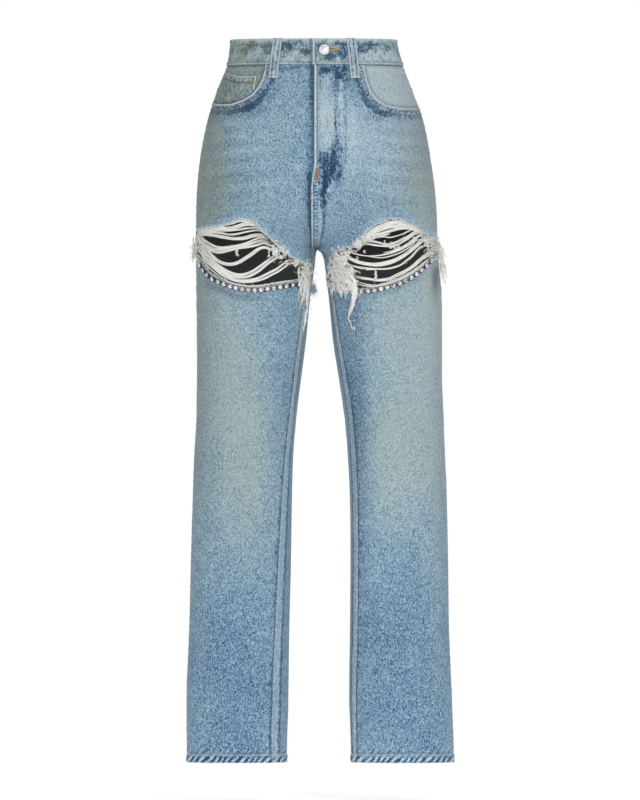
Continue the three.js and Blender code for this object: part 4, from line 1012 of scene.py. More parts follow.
# Hanging strands: number of yarns, then [x, down, lift] from root to tip
STRANDS = {
    "right": [
        (9, [[-14, 348, -3], [-19, 358, 0.5], [-21, 372, 3], [-23, 392, 3.4], [-29, 412, 3]]),
        (9, [[-13, 352, -3], [-18, 360, 1], [-17, 376, 3.5], [-15, 400, 4], [-17, 430, 3.5], [-19, 458, 3]]),
        (8, [[-12, 354, -3], [-17, 361, 0], [-19, 378, 4], [-20, 400, 4.6], [-14, 424, 4], [-13, 446, 4]]),
        (6, [[-20, 352, -2], [-23, 360, 1], [-26, 374, 3], [-29, 396, 3.2]]),
        (4, [[-26, 348, -2], [-29, 360, 2], [-27, 372, 3], [-31, 384, 3]]),
        (5, [[-205, 314, -3], [-195, 319, 1], [-198, 328, 5], [-203, 337, 8]]),
        (5, [[-205, 320, -3], [-194, 325, 1], [-194, 334, 4], [-200, 344, 7]]),
        (3, [[-121, 317, -1], [-122, 325, 1.5], [-120, 334, 1.5]]),
        (2, [[-73, 322, -1], [-74, 330, 1.5], [-73, 336, 1.5]]),
    ],
    "left": [
        (16, [[38, 346, 1], [51, 358, 3], [60, 370, 4.6], [61, 384, 5], [58, 402, 5], [54, 418, 4.4], [51, 430, 4]]),
        (12, [[34, 352, 0], [48, 366, 3.6], [58, 378, 5.4], [59, 394, 5.8], [55, 412, 5.4], [51, 429, 4.8]]),
        (8, [[38, 360, 2], [50, 372, 4.6], [57, 384, 5.6], [58, 400, 6], [54, 416, 5.6], [50, 428, 5]]),
        (2, [[51, 424, 4], [54, 435, 3.6], [62, 449, 2.4]]),
        (7, [[18, 362, -2], [28, 368, 1], [37, 382, 4], [42, 396, 4]]),
        (7, [[19, 366, -2], [27, 372, 1], [27, 384, 4], [23, 394, 4]]),
        (6, [[17, 346, -2], [22, 354, 2], [17, 366, 4.6], [18, 382, 5]]),
        (6, [[18, 356, -2], [27, 362, 2], [36, 372, 4], [47, 386, 4.6], [45, 398, 4]]),
        (4, [[88, 353, -1], [89, 362, 1.5], [88, 370, 1.5]]),
        (7, [[204, 309, -2], [192, 312, 2], [194, 330, 6], [197, 350, 9], [202, 371, 12]]),
        (6, [[204, 314, -2], [190, 320, 2], [188, 340, 5], [193, 362, 7], [197, 378, 9]]),
        (5, [[204, 320, -2], [188, 326, 1], [184, 344, 4], [186, 366, 5]]),
        (5, [[200, 300, -2], [188, 306, 2], [193, 318, 7], [200, 334, 11]]),
        (3, [[70, 300, 0.4], [68, 305, 3], [72, 309, 3.6], [75, 305, 3]]),
    ],
}
# Loose fluff: x, down, spread across, spread down, fibres, length, lift
FLUFF = {
    "right": [
        (-17, 350, 5, 7, 60, 13, 1.5), (-21, 372, 4, 10, 30, 13, 3), (-16, 392, 3, 14, 22, 12, 3.5),
        (-14, 424, 3, 14, 14, 11, 3.5), (-198, 318, 3, 6, 40, 9, 3), (-204, 322, 3, 6, 30, 9, 6),
        (-188, 322, 5, 8, 24, 9, 1), (-36, 342, 12, 3, 26, 8, 0), (-66, 312, 10, 5, 30, 8, 0),
    ],
    "left": [
        (44, 350, 7, 8, 20, 11, 3), (50, 366, 7, 7, 20, 11, 3.6), (34, 340, 6, 5, 30, 10, 2),
        (172, 312, 8, 7, 50, 10, 2), (184, 322, 5, 10, 60, 12, 4),
        (194, 344, 4, 12, 36, 11, 8), (66, 312, 8, 4, 20, 8, 1), (20, 378, 3, 5, 10, 9, 2),
    ],
}
# Curled yarn ends: x, down, spread across, spread down, how many, lift
CURLS = {
    "right": [
        (-15, 352, 3, 4, 20, 2), (-17, 366, 3, 7, 24, 3.5), (-19, 384, 3.4, 8, 18, 4), (-16, 404, 2.5, 12, 14, 4),
        (-15, 430, 2, 12, 8, 4), (-188, 316, 5, 8, 32, 2), (-199, 322, 4, 7, 22, 5), (-62, 322, 6, 4, 16, 1),
        (-30, 343, 9, 2, 10, 0.6), (-52, 329, 9, 3, 12, 0.6),
    ],
    "left": [
        (28, 343, 3.4, 6, 34, 1.4), (25, 356, 3, 6, 34, 2.4), (36, 333, 5, 4, 26, 2),
        (39, 336, 5, 5, 30, 3), (37, 350, 5, 6, 46, 4), (46, 356, 6, 6, 46, 5), (42, 367, 6, 5, 44, 5),
        (54, 372, 4, 5, 32, 5), (48, 380, 7, 3, 28, 4), (34, 378, 4, 4, 20, 4), (28, 366, 3, 6, 14, 3),
        (60, 386, 1.8, 5, 16, 5), (22, 378, 3, 4, 10, 2), (64, 314, 3.5, 2.5, 18, 1.6),
        (48, 324, 9, 3, 14, 0.8), (170, 308, 6, 4, 30, 2), (180, 318, 6, 8, 40, 3),
        (188, 334, 4, 10, 22, 6), (195, 350, 4, 12, 16, 10), (85, 306, 14, 3, 10, 0.6), (118, 318, 8, 3, 8, 0.4),
    ],
}
# Ball of blue lint on the right leg's inner edge: its middle and its reach each way
LINT_MIDDLE, LINT_REACH, LINT_FIBRES = (-5.2, -31.0, -382.0), (1.8, 1.8, 4.6), 260
YARN_RADIUS = 0.5
CURL_RADIUS = 0.62
# The lowest bundles lie over the rip's lower edge, the others behind the cloth
UNDER_CLOTH, OVER_CLOTH = -2.0, 0.5
OVER_EDGE = {"right": 1, "left": 2}
FIBRE_RADIUS = 0.34


def tubes(paths, radii, sides=4):
    """Thin round threads along rows of points, narrower at their tips"""
    paths = np.asarray(paths)
    many, steps = paths.shape[:2]
    along = unit(np.gradient(paths, axis=1))
    across = unit(np.cross(along, np.array([0.31, 0.9, 0.3])))
    other = np.cross(along, across)
    taper = 0.25 + 0.75 * np.minimum(1, 6 * np.minimum(np.linspace(0, 1, steps), np.linspace(1, 0, steps)))
    radius = (np.asarray(radii, float).reshape(-1, 1) * taper)[..., None]
    rings = [paths + radius * (math.cos(a) * across + math.sin(a) * other)
             for a in np.arange(sides) * 2 * math.pi / sides]
    verts = np.stack(rings, 2).reshape(-1, 3)
    ring = np.arange(steps - 1)[:, None] * sides
    side = np.arange(sides)[None, :]
    after = (side + 1) % sides
    quads = np.stack([ring + side, ring + after, ring + sides + after, ring + sides + side], -1).reshape(-1, 4)
    start = (np.arange(many) * steps * sides)[:, None, None]
    faces = (start + quads[None]).reshape(-1, 4).tolist()
    for first in start.reshape(-1).tolist():
        last = first + (steps - 1) * sides
        faces += [[first + k for k in reversed(range(sides))], [last + k for k in range(sides)]]
    return verts, faces


def wander(many, steps, size, waves=3.0):
    """Slow random waves, one row for each thread"""
    t = np.linspace(0, 1, steps)[None, :]
    total = np.zeros((many, steps))
    for share in (1.0, 0.55, 0.35):
        rate = waves / share * (0.7 + 0.6 * rng.random((many, 1)))
        total += share * np.sin(2 * math.pi * (rate * t + rng.random((many, 1))))
    return size * total


def yarn_bundle(width, line, lift, steps=40):
    """Yarns that run side by side along a line, a little loose in the middle"""
    many = max(2, round(width * 1.25))
    middle = smooth_line(line, steps)
    ahead = unit(np.gradient(middle, axis=0))
    sideways = np.stack([-ahead[:, 1], ahead[:, 0]], -1)
    t = np.linspace(0, 1, steps)
    fan = 0.85 + 0.15 * np.sin(math.pi * t) + 0.1 * np.sin(3 * math.pi * t + rng.random() * 6)
    places = (np.arange(many) + 0.5) / many - 0.5
    offset = places[:, None] * width * fan + wander(many, steps, 0.16, 2.5)
    flat = middle[None] + offset[..., None] * sideways[None]
    ends = np.abs(2 * t - 1) ** 6
    lift = lift - 0.9 * ends[None] + wander(many, steps, 0.35, 3) + 0.5 * rng.random((many, 1))
    points, _ = facing(0, flat[..., 0], flat[..., 1], lift)
    return points


def strand_yarns(many, line, steps=30):
    middle = smooth_line(line, steps)
    t = np.linspace(0, 1, steps)
    gather = 0.5 + 1.1 * t
    spread_x = wander(many, steps, 0.8, 2.2) * gather + rng.normal(0, 1.0, (many, 1))
    spread_down = wander(many, steps, 0.7, 2.2) * gather
    length = 0.72 + 0.28 * rng.random((many, 1))
    x = np.stack([np.interp(t * share, t, middle[:, 0]) for share in length[:, 0]])
    down = np.stack([np.interp(t * share, t, middle[:, 1]) for share in length[:, 0]])
    lift = np.stack([np.interp(t * share, t, middle[:, 2]) for share in length[:, 0]])
    lift = lift + wander(many, steps, 0.6, 2) * np.minimum(1, 3 * t)
    points, _ = facing(0, x + spread_x, down + spread_down, lift)
    return points


def fibres(places, headings, length, steps=9, curl=0.55, fall=0.05):
    """Short curly fibres that grow from places"""
    heading = unit(headings)
    point = places.copy()
    rows = [point]
    turn = rng.normal(0, 1, point.shape)
    for _ in range(steps - 1):
        turn = 0.6 * turn + 0.8 * rng.normal(0, 1, point.shape)
        heading = unit(heading + curl * turn * 0.6 + np.array([0, 0, -fall]))
        point = point + heading * (length / (steps - 1))[:, None]
        rows.append(point)
    return np.stack(rows, 1)


def fluff(spots):
    rows = []
    for x, down, reach_x, reach_down, many, length, lift in spots:
        at_x, at_down = x + rng.normal(0, reach_x, many), down + rng.normal(0, reach_down, many)
        points, normals = facing(0, at_x, at_down, lift * rng.random(many))
        away = rng.normal(0, 1, (many, 3)) * np.array([1, 0.35, 1]) + normals * 0.35
        rows.append(fibres(points, away, length * (0.5 + rng.random(many)), steps=11, curl=1.05))
    return np.concatenate(rows)


def lint_ball():
    places = np.array(LINT_MIDDLE) + rng.normal(0, 1, (LINT_FIBRES, 3)) * LINT_REACH
    return fibres(places, rng.normal(0, 1, (LINT_FIBRES, 3)), 3 + 3 * rng.random(LINT_FIBRES), steps=11, curl=1.05)


def curls(spots, steps=17):
    """Small curled ends of yarn that lie on the cloth: x, down, spread across, spread down, how many, lift"""
    rows = []
    for x, down, reach_x, reach_down, many, lift in spots:
        at_x, at_down = x + rng.normal(0, reach_x, many), down + rng.normal(0, reach_down, many)
        radius = 1.1 + 1.7 * rng.random((many, 1))
        turns = 0.7 + 0.9 * rng.random((many, 1))
        angle = 2 * math.pi * (rng.random((many, 1)) + turns * np.linspace(0, 1, steps)[None])
        drift = np.linspace(0, 1, steps)[None] * 3.0
        away = rng.random((many, 1)) * 2 * math.pi
        px = at_x[:, None] + radius * np.cos(angle) + drift * np.cos(away)
        pd = at_down[:, None] + radius * np.sin(angle) + drift * np.sin(away)
        high = lift * rng.random((many, 1)) + 0.8 * np.sin(angle * 0.5) + 0.4
        rows.append(facing(0, px, pd, high)[0])
    return np.concatenate(rows)


def frayed_edge(name, many=420):
    """Fine fibres that stand off the cut edge of the cloth and run along it"""
    outline = np.array(RIPS[name] + RIPS[name][:1], float)
    step = np.linalg.norm(np.diff(outline, axis=0), axis=1)
    at = rng.random(many) * step.sum()
    k = np.minimum(np.searchsorted(np.cumsum(step), at), len(step) - 1)
    t = rng.random(many)
    place = outline[k] + (outline[k + 1] - outline[k]) * t[:, None]
    along = unit(outline[k + 1] - outline[k])
    centre = outline.mean(0)
    place = place + unit(place - centre) * (rng.random((many, 1)) * 3.4 - 1.2)
    place = place[np.abs(place[:, 0]) < 190]
    along = along[:len(place)]
    points, normals = facing(0, place[:, 0], place[:, 1], 0.2 + 0.4 * rng.random(len(place)))
    ahead = np.where(rng.random(len(place)) < 0.5, 1, -1)[:, None] * np.stack(
        [along[:, 0], 0 * along[:, 0], -along[:, 1]], -1)
    inward = unit(centre - place)
    towards = np.stack([inward[:, 0], 0 * inward[:, 0], -inward[:, 1]], -1)
    heading = ahead * 0.9 + towards * 0.5 + normals * 0.1 + rng.normal(0, 0.25, points.shape)
    return fibres(points, heading, 3 + 4 * rng.random(len(place)), curl=1.0)


def joined_threads(name, groups, material):
    verts, faces, ages = [], [], []
    start = 0
    for paths, radius, sides in groups:
        shape, quads = tubes(paths, np.full(len(paths), radius) * (0.8 + 0.4 * rng.random(len(paths))), sides)
        verts.append(shape)
        faces += [[i + start for i in quad] for quad in quads]
        ages.append(np.repeat(rng.random(len(paths)), paths.shape[1] * sides))
        start += len(shape)
    return put(name, np.vstack(verts), faces, [material], {"age": np.concatenate(ages)}, sharp=180)


def thread_web(name, side, yarn):
    lifts = [UNDER_CLOTH] * (len(BUNDLES[name]) - OVER_EDGE[name]) + [OVER_CLOTH] * OVER_EDGE[name]
    groups = [(yarn_bundle(width, line, lift), YARN_RADIUS, 4) for (width, line), lift in zip(BUNDLES[name], lifts)]
    groups += [(strand_yarns(many, line), YARN_RADIUS * 1.05, 4) for many, line in STRANDS[name]]
    loose = np.concatenate([g[0][:, ::4] for g in groups[:len(BUNDLES[name])]]).reshape(-1, 3)
    roots = loose[rng.integers(0, len(loose), 120)]
    along = rng.normal(0, 1, roots.shape) * np.array([1, 0.3, 0.6]) + np.array([0, -0.25, 0])
    groups += [(fibres(roots, along, 3 + 5 * rng.random(len(roots)), curl=0.9), FIBRE_RADIUS * 0.8, 3)]
    groups += [(fluff(FLUFF[name]), FIBRE_RADIUS, 3), (frayed_edge(name), FIBRE_RADIUS, 3)]
    groups += [(curls(CURLS[name]), CURL_RADIUS, 4)]
    return dress(joined_threads("weft_" + name, groups, yarn), "threads", "threads_" + name)


def bare_yarn(name, pale, deep):
    f = Finish(name, Roughness=0.95, Specular_IOR_Level=0.15, Sheen_Weight=0.3)
    age = f.mark("age")
    ply = f.noise(900.0, 2.0)
    patches = f.noise(60.0, 2.0)
    share = (age * 0.5 + ply * 0.5 + (patches - 0.5) * 0.8).clamp()
    return f.finish(f.blend(share, pale, deep), None, ply, 0.0003, 0.5)


# ---- crystals, button and rivets ----
TRIMS = {
    "right": [[-177, 345], [-164, 362], [-144, 373], [-119, 381], [-92, 383.5], [-60, 379], [-29, 374.5]],
    "left": [[172, 339], [160, 351], [144, 364], [126, 372.5], [107, 379], [86, 384], [69, 386]],
}


def ring_faces(rings, segments, closed_start=True, closed_end=True):
    faces = [[k * segments + i, k * segments + (i + 1) % segments, (k + 1) * segments + (i + 1) % segments,
              (k + 1) * segments + i] for k in range(rings - 1) for i in range(segments)]
    if closed_start:
        faces.append(list(reversed(range(segments))))
    if closed_end:
        faces.append([(rings - 1) * segments + i for i in range(segments)])
    return faces


def turned_points(profile, segments, turn=0.0):
    """Points of a turned shape along +Z, from radius and height pairs"""
    angle = np.arange(segments) * 2 * math.pi / segments + turn
    return np.concatenate([np.stack([r * np.cos(angle), r * np.sin(angle), h + 0 * angle], -1) for r, h in profile])


def stood_on(points, place, normal, upright=(0, 0, 1)):
    """Local points with their +Z turned to the normal and their +Y close to upright"""
    across = unit(np.cross(np.array(upright, float), normal))
    along = np.cross(normal, across)
    return place + points[:, :1] * across + points[:, 1:2] * along + points[:, 2:] * normal


def crystal_parts():
    """A brilliant-cut stone, its dark cup and four bright claws, each as points, faces and material number"""
    girdle, table = 3.55, 2.0
    stone = np.concatenate([
        turned_points([(2.6, 0.5), (girdle, 1.55), (girdle, 1.85)], 16),
        turned_points([(mix(girdle, table, 0.45), 2.75)], 16, math.pi / 16), turned_points([(table, 3.35)], 16)])
    cup = turned_points([(3.4, 0.0), (4.05, 0.3), (4.1, 1.5), (3.7, 1.75), (3.3, 1.5), (2.6, 0.6)], 16)
    parts = [(stone, ring_faces(5, 16), 0), (cup, ring_faces(6, 16), 1)]
    for turn in np.arange(4) * math.pi / 2 + math.pi / 4:
        claw = turned_points([(0.62, 0.4), (0.62, 2.1), (0.5, 2.7), (0.2, 2.95)], 6)
        claw = claw + np.array([3.75 * math.cos(turn), 3.75 * math.sin(turn), 0])
        claw[12:, :2] *= 0.9
        parts.append((claw, ring_faces(4, 6), 1))
    return parts


def crystal_trim(name, stone_look, claw_look, tape_look):
    line = smooth_line(TRIMS[name], 200)
    length = np.linalg.norm(np.diff(line, axis=0), axis=1).sum()
    places = smooth_line(TRIMS[name], round(length / STONE_PITCH) + 1)
    points, normals = facing(0, places[:, 0], places[:, 1], 1.3)
    verts, faces, kinds, start = [], [], [], 0
    ahead = unit(np.gradient(points, axis=0))
    for place, normal, way in zip(points, normals, ahead):
        normal = unit(normal + rng.normal(0, 0.09, 3))
        for shape, quads, kind in crystal_parts():
            verts.append(stood_on(shape, place, normal, way))
            faces += [[i + start for i in quad] for quad in quads]
            kinds += [kind] * len(quads)
            start += len(shape)
    tape = smooth_line(TRIMS[name], 90)
    rows = []
    for offset in np.linspace(-3.4, 3.4, 9):
        rows.append(facing(0, tape[:, 0], tape[:, 1] + offset, 1.2 - 0.35 * abs(offset / 3.4) ** 4)[0])
    grid = np.stack(rows, 1)
    under = grid.copy()
    under[..., 1] += 1.0
    band = np.concatenate([grid.reshape(-1, 3), under.reshape(-1, 3)])
    many, wide = grid.shape[:2]
    size = many * wide
    top = [[i * wide + j, i * wide + j + 1, (i + 1) * wide + j + 1, (i + 1) * wide + j]
           for i in range(many - 1) for j in range(wide - 1)]
    edges = {(a, b) for face in top for a, b in zip(face, face[1:] + face[:1])}
    walls = sorted([b, a, a + size, b + size] for a, b in edges if (b, a) not in edges)
    shell_faces = top + [[i + size for i in reversed(face)] for face in top] + walls
    a, b, c = grid[0, 0], grid[0, 1], grid[1, 0]
    if np.cross(b - a, c - a)[1] > 0:
        shell_faces = [face[::-1] for face in shell_faces]
    faces += [[i + start for i in face] for face in shell_faces]
    kinds += [2] * len(shell_faces)
    verts.append(band)
    piece = put("crystals_" + name, np.vstack(verts), faces, [stone_look, claw_look, tape_look],
                face_materials=kinds, sharp=18)
    return dress(piece, "crystals", "crystal_trim_" + name)


def metal_piece(name, at, lift, profile, segments, looks, slot, node, dark_rings=()):
    """A turned piece set on the front; the faces after the dark rings take the second look"""
    points, normals = facing(0, np.array([at[0]]), np.array([at[1]]), lift)
    shape = stood_on(turned_points(profile, segments), points[0], normals[0])
    faces = ring_faces(len(profile), segments)
    kinds = [1 if i // segments in dark_rings else 0 for i in range(len(faces))]
    piece = put(name, shape, faces, looks, face_materials=kinds, sharp=40)
    return dress(piece, slot, node)


BUTTON_PROFILE = [(5.0, -0.4), (5.2, 1.2), (8.1, 1.35), (8.6, 1.8), (8.6, 2.5), (8.2, 3.0), (7.4, 3.3), (6.6, 3.25),
                  (6.2, 3.1), (5.6, 3.3), (4, 3.55), (2, 3.68), (0.3, 3.72)]
RIVET_PROFILE = [(3.0, -0.6), (3.9, 0.0), (4.0, 0.5), (3.7, 0.95), (3.0, 1.1), (2.5, 0.9), (2.1, 0.55), (1.4, 0.5),
                 (1.1, 0.9), (0.6, 1.2), (0.1, 1.25)]


def metal(name, colour, dark, roughness=0.28, metallic=1.0):
    f = Finish(name, Metallic=metallic, Roughness=roughness)
    worn = f.noise(700.0, 3.0)
    tarnish = f.noise(240.0, 2.0)
    return f.finish(f.blend(tarnish.between(0.4, 0.75), colour, dark), worn * 0.25 + (roughness - 0.08), worn, 0.0002, 0.3)


def crystal_look():
    f = Finish("cut crystal", Roughness=0.06, Coat_Weight=0.6, Coat_Roughness=0.02)
    glint_and_gloss_noise = f.noise(420.0, 1.0, 0.4)
    cells = {"Vector": f.place, "Scale": 520.0}
    facet_glint = Value(f, f.node("ShaderNodeTexVoronoi", {}, cells).outputs["Color"])
    # Painted glints and reflections: the stone's colour runs from dark to white over small cells and noise.
    painted_glint = glint_and_gloss_noise * 0.5 + facet_glint * 0.5
    colour = f.ramp(painted_glint, [(0.3, (0.16, 0.17, 0.19)), (0.46, (0.62, 0.63, 0.66)), (0.6, (0.97, 0.97, 0.98))])
    return f.finish(colour, glint_and_gloss_noise * 0.05 + 0.04)


# ---- stitches ----
def stitch_tree(thread):
    """Geometry nodes that lay one short round stitch on each point, along the direction kept there"""
    tree = bpy.data.node_groups.new("stitch rows", "GeometryNodeTree")
    face = tree.interface
    face.new_socket("Seam Points", in_out="INPUT", socket_type="NodeSocketGeometry")
    face.new_socket("Stitch Length", in_out="INPUT", socket_type="NodeSocketFloat")
    face.new_socket("Thread Radius", in_out="INPUT", socket_type="NodeSocketFloat")
    face.new_socket("Stitches", in_out="OUTPUT", socket_type="NodeSocketGeometry")
    made = {}
    for key, kind in (("given", "NodeGroupInput"), ("along", "GeometryNodeInputNamedAttribute"),
                      ("align", "FunctionNodeAlignRotationToVector"), ("size", "ShaderNodeCombineXYZ"),
                      ("half", "ShaderNodeMath"), ("stitch", "GeometryNodeMeshUVSphere"),
                      ("sew", "GeometryNodeInstanceOnPoints"), ("real", "GeometryNodeRealizeInstances"),
                      ("smooth", "GeometryNodeSetShadeSmooth"), ("dye", "GeometryNodeSetMaterial"),
                      ("result", "NodeGroupOutput")):
        made[key] = tree.nodes.new(kind)
    made["along"].data_type = "FLOAT_VECTOR"
    made["along"].inputs["Name"].default_value = "along"
    made["align"].axis = "Z"
    made["half"].operation = "MULTIPLY"
    made["half"].inputs[1].default_value = 0.5
    made["stitch"].inputs["Segments"].default_value = 6
    made["stitch"].inputs["Rings"].default_value = 4
    made["stitch"].inputs["Radius"].default_value = 1.0
    made["dye"].inputs["Material"].default_value = thread
    for source, out, target, into in (
        ("given", "Stitch Length", "half", 0), ("given", "Thread Radius", "size", "X"),
        ("given", "Thread Radius", "size", "Y"), ("half", 0, "size", "Z"), ("along", 0, "align", "Vector"),
        ("given", "Seam Points", "sew", "Points"), ("stitch", "Mesh", "sew", "Instance"),
        ("align", "Rotation", "sew", "Rotation"), ("size", "Vector", "sew", "Scale"),
        ("sew", "Instances", "real", "Geometry"), ("real", "Geometry", "smooth", "Geometry"),
        ("smooth", "Geometry", "dye", "Geometry"), ("dye", "Geometry", "result", "Stitches"),
    ):
        tree.links.new(made[source].outputs[out], made[target].inputs[into])
    return tree


def sewn(name, rows, tree, slot, length=3.0, radius=0.36):
    """Stitches on rows of points; each row gives its points and their directions"""
    points = np.concatenate([row[0] for row in rows]) * MM
    along = np.concatenate([row[1] for row in rows]).astype(np.float32)
    mesh = bpy.data.meshes.new(name + "_points")
    mesh.from_pydata(points.tolist(), [], [])
    mesh.attributes.new("along", "FLOAT_VECTOR", "POINT").data.foreach_set("vector", along.reshape(-1))
    carrier = bpy.data.objects.new(name + "_points", mesh)
    bpy.context.scene.collection.objects.link(carrier)
    modifier = carrier.modifiers.new("sew", "NODES")
    modifier.node_group = tree
    sizes = {"Stitch Length": length * MM, "Thread Radius": radius * MM}
    for item in tree.interface.items_tree:
        if item.name in sizes and item.in_out == "INPUT":
            modifier[item.identifier] = sizes[item.name]
    carrier.update_tag()
    graph = bpy.context.evaluated_depsgraph_get()
    result = bpy.data.meshes.new_from_object(carrier.evaluated_get(graph))
    bpy.data.objects.remove(carrier)
    result.name = name
    piece = bpy.data.objects.new(name, result)
    bpy.context.scene.collection.objects.link(piece)
    return dress(piece, slot)


def along_of(points):
    return unit(np.gradient(points, axis=0))


def picture_row(line, face, lift, pitch=3.7, relief=None):
    """Stitch places along a line of [x, down] points"""
    length = np.linalg.norm(np.diff(np.array(line, float), axis=0), axis=1).sum()
    places = smooth_line(line, max(3, int(length / pitch)))
    points, normals = facing(face, places[:, 0], places[:, 1], lift, relief)
    return points, along_of(points)


def cloth_row(side, face, s_at, first, last, lift=0.45, pitch=3.7, relief=None):
    """Stitch places down the cloth at s_at(down)"""
    down = np.linspace(first, last, int((last - first) / pitch))
    points, normals = surface(side, face, s_at(down), down, relief)
    points = points + normals * lift
    return points, along_of(points)


def ring_row(side, face, down_at, lift=0.5, pitch=3.7, first=0.01, last=0.99, relief=None, width=230):
    """Stitch places across the cloth at down_at(s)"""
    s = np.linspace(first, last, int(width * (last - first) / pitch))
    points, normals = surface(side, face, s, down_at(s), relief)
    points = points + normals * lift
    return points, along_of(points)


def offset_line(line, distance):
    p = np.array(line, float)
    ahead = unit(np.gradient(p, axis=0))
    return (p + distance * np.stack([ahead[:, 1], -ahead[:, 0]], -1)).tolist()


def at_inner(width):
    return lambda down: width / (255 - 75 * smooth(330, 700, down))


def at_outer(width):
    return lambda down: 1 - width / (255 - 75 * smooth(330, 700, down))


def seam_rows(name, side):
    """Every stitch row of one front and one back panel"""
    front, back = panel_relief(side, 0), panel_relief(side, 1)
    opening = [p for p in POCKETS[name][:-1] if p[1] > 38.5 and abs(p[0]) < 175]
    turn = -1 if side < 0 else 1
    rows = [picture_row(offset_line(opening, turn * -d), 0, 0.3, relief=front) for d in (3.0, 8.5)]
    for width in (1.9, 5.0):
        rows.append(cloth_row(side, 0, at_inner(width), CROTCH + 10, LENGTH - 3, relief=front))
    rows.append(ring_row(side, 0, lambda s: LENGTH - HEM_HEIGHT + 1.5 + 0 * s, 0.35, relief=front, width=215))
    rears = [ring_row(side, 1, lambda s: LENGTH - HEM_HEIGHT + 1.5 + 0 * s, 0.35, relief=back, width=215)]
    for extra in (2.2, 6.4):
        rears.append(ring_row(side, 1, lambda s, extra=extra: mix(YOKE_CENTRE, YOKE_SIDE, s) + extra, 0.3, relief=back))
    if side > 0:
        for width in (1.6, 5.0):
            rears.append(cloth_row(side, 1, at_inner(width), 42, CROTCH - 6, relief=back))
    s_in, s_out = 0.37 - 0.207, 0.37 + 0.207
    for inset in (1.6, 6.0):
        for edge, away in ((-1, 1), (1, -1)):
            place = lambda down, e=edge, a=away, i=inset: 0.37 + e * mix(0.225, 0.195, (down - 122) / 120) + a * i / 230
            rears.append(cloth_row(side, 1, place, 124, 241, 4.0, relief=None))
        tip = lambda s, i=inset: 242 - i + 16 * (1 - np.abs(s - 0.37) / 0.195)
        rears.append(ring_row(side, 1, tip, 4.1, first=0.37 - 0.185, last=0.37 + 0.185))
    for drop in (16.0, 19.0):
        rears.append(ring_row(side, 1, lambda s, d=drop: 122 + d + 0 * s, 4.2, first=s_in - 0.005, last=s_out + 0.005))
    return rows, rears


def band_rows():
    rows = []
    for down in (6.8, BAND_HEIGHT - 5.4):
        level = lambda s, d=down: d + 0 * s
        for side in (-1, 1):
            for face in (0, 1):
                first = 0.03 if (side, face) == (-1, 0) else 0.004
                rows.append(ring_row(side, face, level, BAND_LIFT + 0.25, first=first, relief=band_relief, width=190))
    down = np.linspace(8, BAND_HEIGHT - 6, 9)
    points, normals = facing(0, -1.6 + 0 * down, down, BAND_LIFT + 0.5)
    rows.append((points, along_of(points)))
    return rows


def loop_rows():
    rows = []
    for face, top_x, bottom_x in LOOPS.values():
        for offset in (-3.9, 3.9):
            v = np.linspace(0.03, 0.97, 17)
            lift = 2.5 + BAND_LIFT * (1 - smooth(0.7, 0.95, v)) + 1.9 * np.sin(math.pi * np.minimum(v / 0.8, 1))
            points, _ = facing(face, mix(top_x, bottom_x, v) + offset, mix(-0.6, 61, v), lift)
            rows.append((points, along_of(points)))
    return rows


def bar_tack(x, down, width, height, lift, many):
    """Close stitches laid across, one under the other"""
    at = np.linspace(down, down + height, many)
    points, _ = facing(0, x + 0 * at, at, lift)
    across, _ = facing(0, x + width + 0 * at, at, lift)
    return points, unit(across - points)


def buttonhole_rows():
    """Close stitches that stand round a keyhole slit"""
    slit = [[34.0, 16.2], [30, 15.0], [24.5, 14.8], [21.5, 13.3], [18.8, 15], [18.8, 17.4], [21.5, 19], [24.5, 17.6],
            [30, 17.4], [34.0, 16.2]]
    places = smooth_line(slit, 64)
    points, normals = facing(0, places[:, 0], places[:, 1], BAND_LIFT + 0.7)
    return [(points, unit(np.cross(along_of(points), normals)))]


# ---- camera, light and floor ----
ROOM_LIGHT = 0.46


def emit_light(name, place, size, power, aim=(0, 0, -0.55), colour=(1, 1, 1)):
    lamp = bpy.data.lights.new(name, "AREA")
    lamp.shape, lamp.size, lamp.size_y, lamp.energy, lamp.color = "RECTANGLE", *size, power, colour
    holder = bpy.data.objects.new(name, lamp)
    holder.location = place
    holder.rotation_euler = (Vector(aim) - Vector(place)).to_track_quat("-Z", "Y").to_euler()
    bpy.context.scene.collection.objects.link(holder)


def studio():
    scene = bpy.context.scene
    camera = bpy.data.objects.new("camera", bpy.data.cameras.new("camera"))
    scene.collection.objects.link(camera)
    distance, frame_height = 20.0, 1.224
    camera.data.lens = 36 * distance / frame_height
    camera.location = (0.0046, -distance, -0.551)
    camera.rotation_euler = (math.radians(90), 0, 0)
    camera.data.clip_end = 100
    scene.camera = camera
    scene.view_settings.view_transform = "Standard"
    world = bpy.data.worlds.new("pale room")
    world.use_nodes = True
    nodes, links = world.node_tree.nodes, world.node_tree.links
    ground = nodes["Background"]
    ground.inputs["Color"].default_value = (1, 1, 1, 1)
    seen = nodes.new("ShaderNodeMapRange")
    links.new(nodes.new("ShaderNodeLightPath").outputs["Is Camera Ray"], seen.inputs["Value"])
    seen.inputs["To Min"].default_value, seen.inputs["To Max"].default_value = ROOM_LIGHT, 1.0
    links.new(seen.outputs[0], ground.inputs["Strength"])
    scene.world = world
    emit_light("soft key", (1.5, -4.2, 0.9), (2.0, 2.0), 66)
    emit_light("soft fill", (-1.5, -4.2, -0.3), (2.0, 2.4), 44)
    floor_finish = Finish("pale floor", Roughness=0.9, Emission_Color=(1, 1, 1, 1), Emission_Strength=0.55)
    shade = floor_finish.noise(3.0, 2.0) * 0.02 + 0.93
    pale = floor_finish.node("ShaderNodeCombineColor", {}, {0: shade, 1: shade, 2: shade}).outputs[0]
    floor_finish.finish(pale)
    angles = np.arange(64) * math.pi / 32
    disc = np.stack([900 * np.cos(angles), 900 * np.sin(angles), -LENGTH - 60 + 0 * angles], -1)
    put("floor", disc, [list(range(64))], [floor_finish.material])


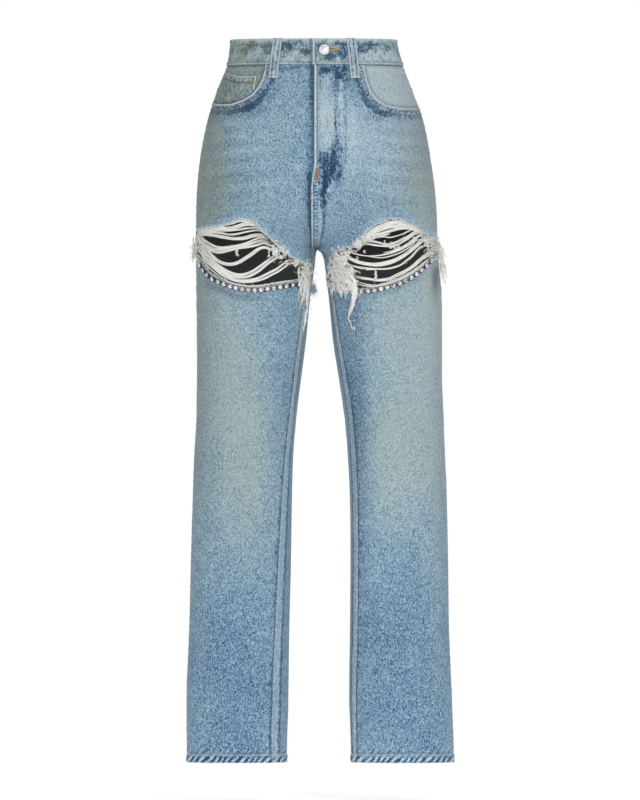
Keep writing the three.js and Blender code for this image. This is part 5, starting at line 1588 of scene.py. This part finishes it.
# ---- the garment ----
cloth = denim("washed denim")
band_cloth = denim("waistband denim", 0.02, 1.5)
for side_name, side in SIDES.items():
    front_panel(side_name, side, cloth)
    back_panel(side_name, side, cloth)
    yoke(side_name, side, cloth)
    pocket_facing(side_name, side, cloth)
    back_pocket(side_name, side, cloth)
coin_pocket(cloth)
fly_shield(cloth)
centre_lap(cloth)
seat_lap(cloth)
waistband(band_cloth)
for loop in LOOPS:
    belt_loop(loop, band_cloth)

yarn = bare_yarn("bare cotton yarn", (0.97, 0.965, 0.93), (0.88, 0.88, 0.82))
blue_yarn = bare_yarn("blue cotton fluff", (0.55, 0.68, 0.78), (0.30, 0.45, 0.60))
silver = metal("brushed silver", (0.62, 0.63, 0.655), (0.36, 0.36, 0.38), 0.42)
brass = metal("yellow brass", (0.75, 0.6, 0.3), (0.4, 0.3, 0.14))
claw_metal = metal("dark claw metal", (0.2, 0.2, 0.205), (0.06, 0.06, 0.065), 0.4)
stone_look = crystal_look()
for side_name, side in SIDES.items():
    thread_web(side_name, side, yarn)
    crystal_trim(side_name, stone_look, claw_metal, claw_metal)
fluff_ball = joined_threads("blue_fluff", [(lint_ball(), FIBRE_RADIUS, 3)], blue_yarn)
dress(fluff_ball, "threads")
# The button's rim ring takes the dark metal: a painted dark reflection round its edge.
metal_piece("silver_button", (11, 17.7), BAND_LIFT, BUTTON_PROFILE, 40, [silver, claw_metal], "silver_metal", "button", (2,))
metal_piece("ring_rivet_right", (-75.4, 46), 0.5, RIVET_PROFILE, 24, [silver, claw_metal], "silver_metal", "rivet_right_pocket", (5, 6, 7, 8))
metal_piece("ring_rivet_left", (67.3, 45.2), 0.5, RIVET_PROFILE, 24, [silver, claw_metal], "silver_metal", "rivet_left_pocket", (5, 6, 7, 8))
metal_piece("ring_rivet_coin", (-99, 64), 0.2, RIVET_PROFILE, 24, [brass, claw_metal], "copper_metal", "rivet_coin_pocket", (6, 7))
stitches = stitch_tree(bare_yarn("pale blue thread", (0.50, 0.58, 0.62), (0.30, 0.38, 0.44)))
ochre_stitches = stitch_tree(bare_yarn("ochre thread", (0.60, 0.42, 0.16), (0.42, 0.27, 0.09)))
red_stitches = stitch_tree(bare_yarn("faded red thread", (0.55, 0.26, 0.22), (0.42, 0.16, 0.13)))
for side_name, side in SIDES.items():
    front_rows, back_rows = seam_rows(side_name, side)
    sewn("stitches_front_" + side_name, front_rows, stitches, "threads")
    sewn("stitches_back_" + side_name, back_rows, stitches, "threads")
sewn("stitches_waistband", band_rows(), stitches, "threads")
sewn("stitches_loops", loop_rows(), stitches, "threads", 2.9)
sewn("buttonhole_thread", buttonhole_rows(), ochre_stitches, "threads", 2.4, 0.42)
sewn("fly_bar_tack", [bar_tack(0.4, 201, 5, 16, 2.0, 13)], red_stitches, "threads", 7.2, 0.5)


studio()
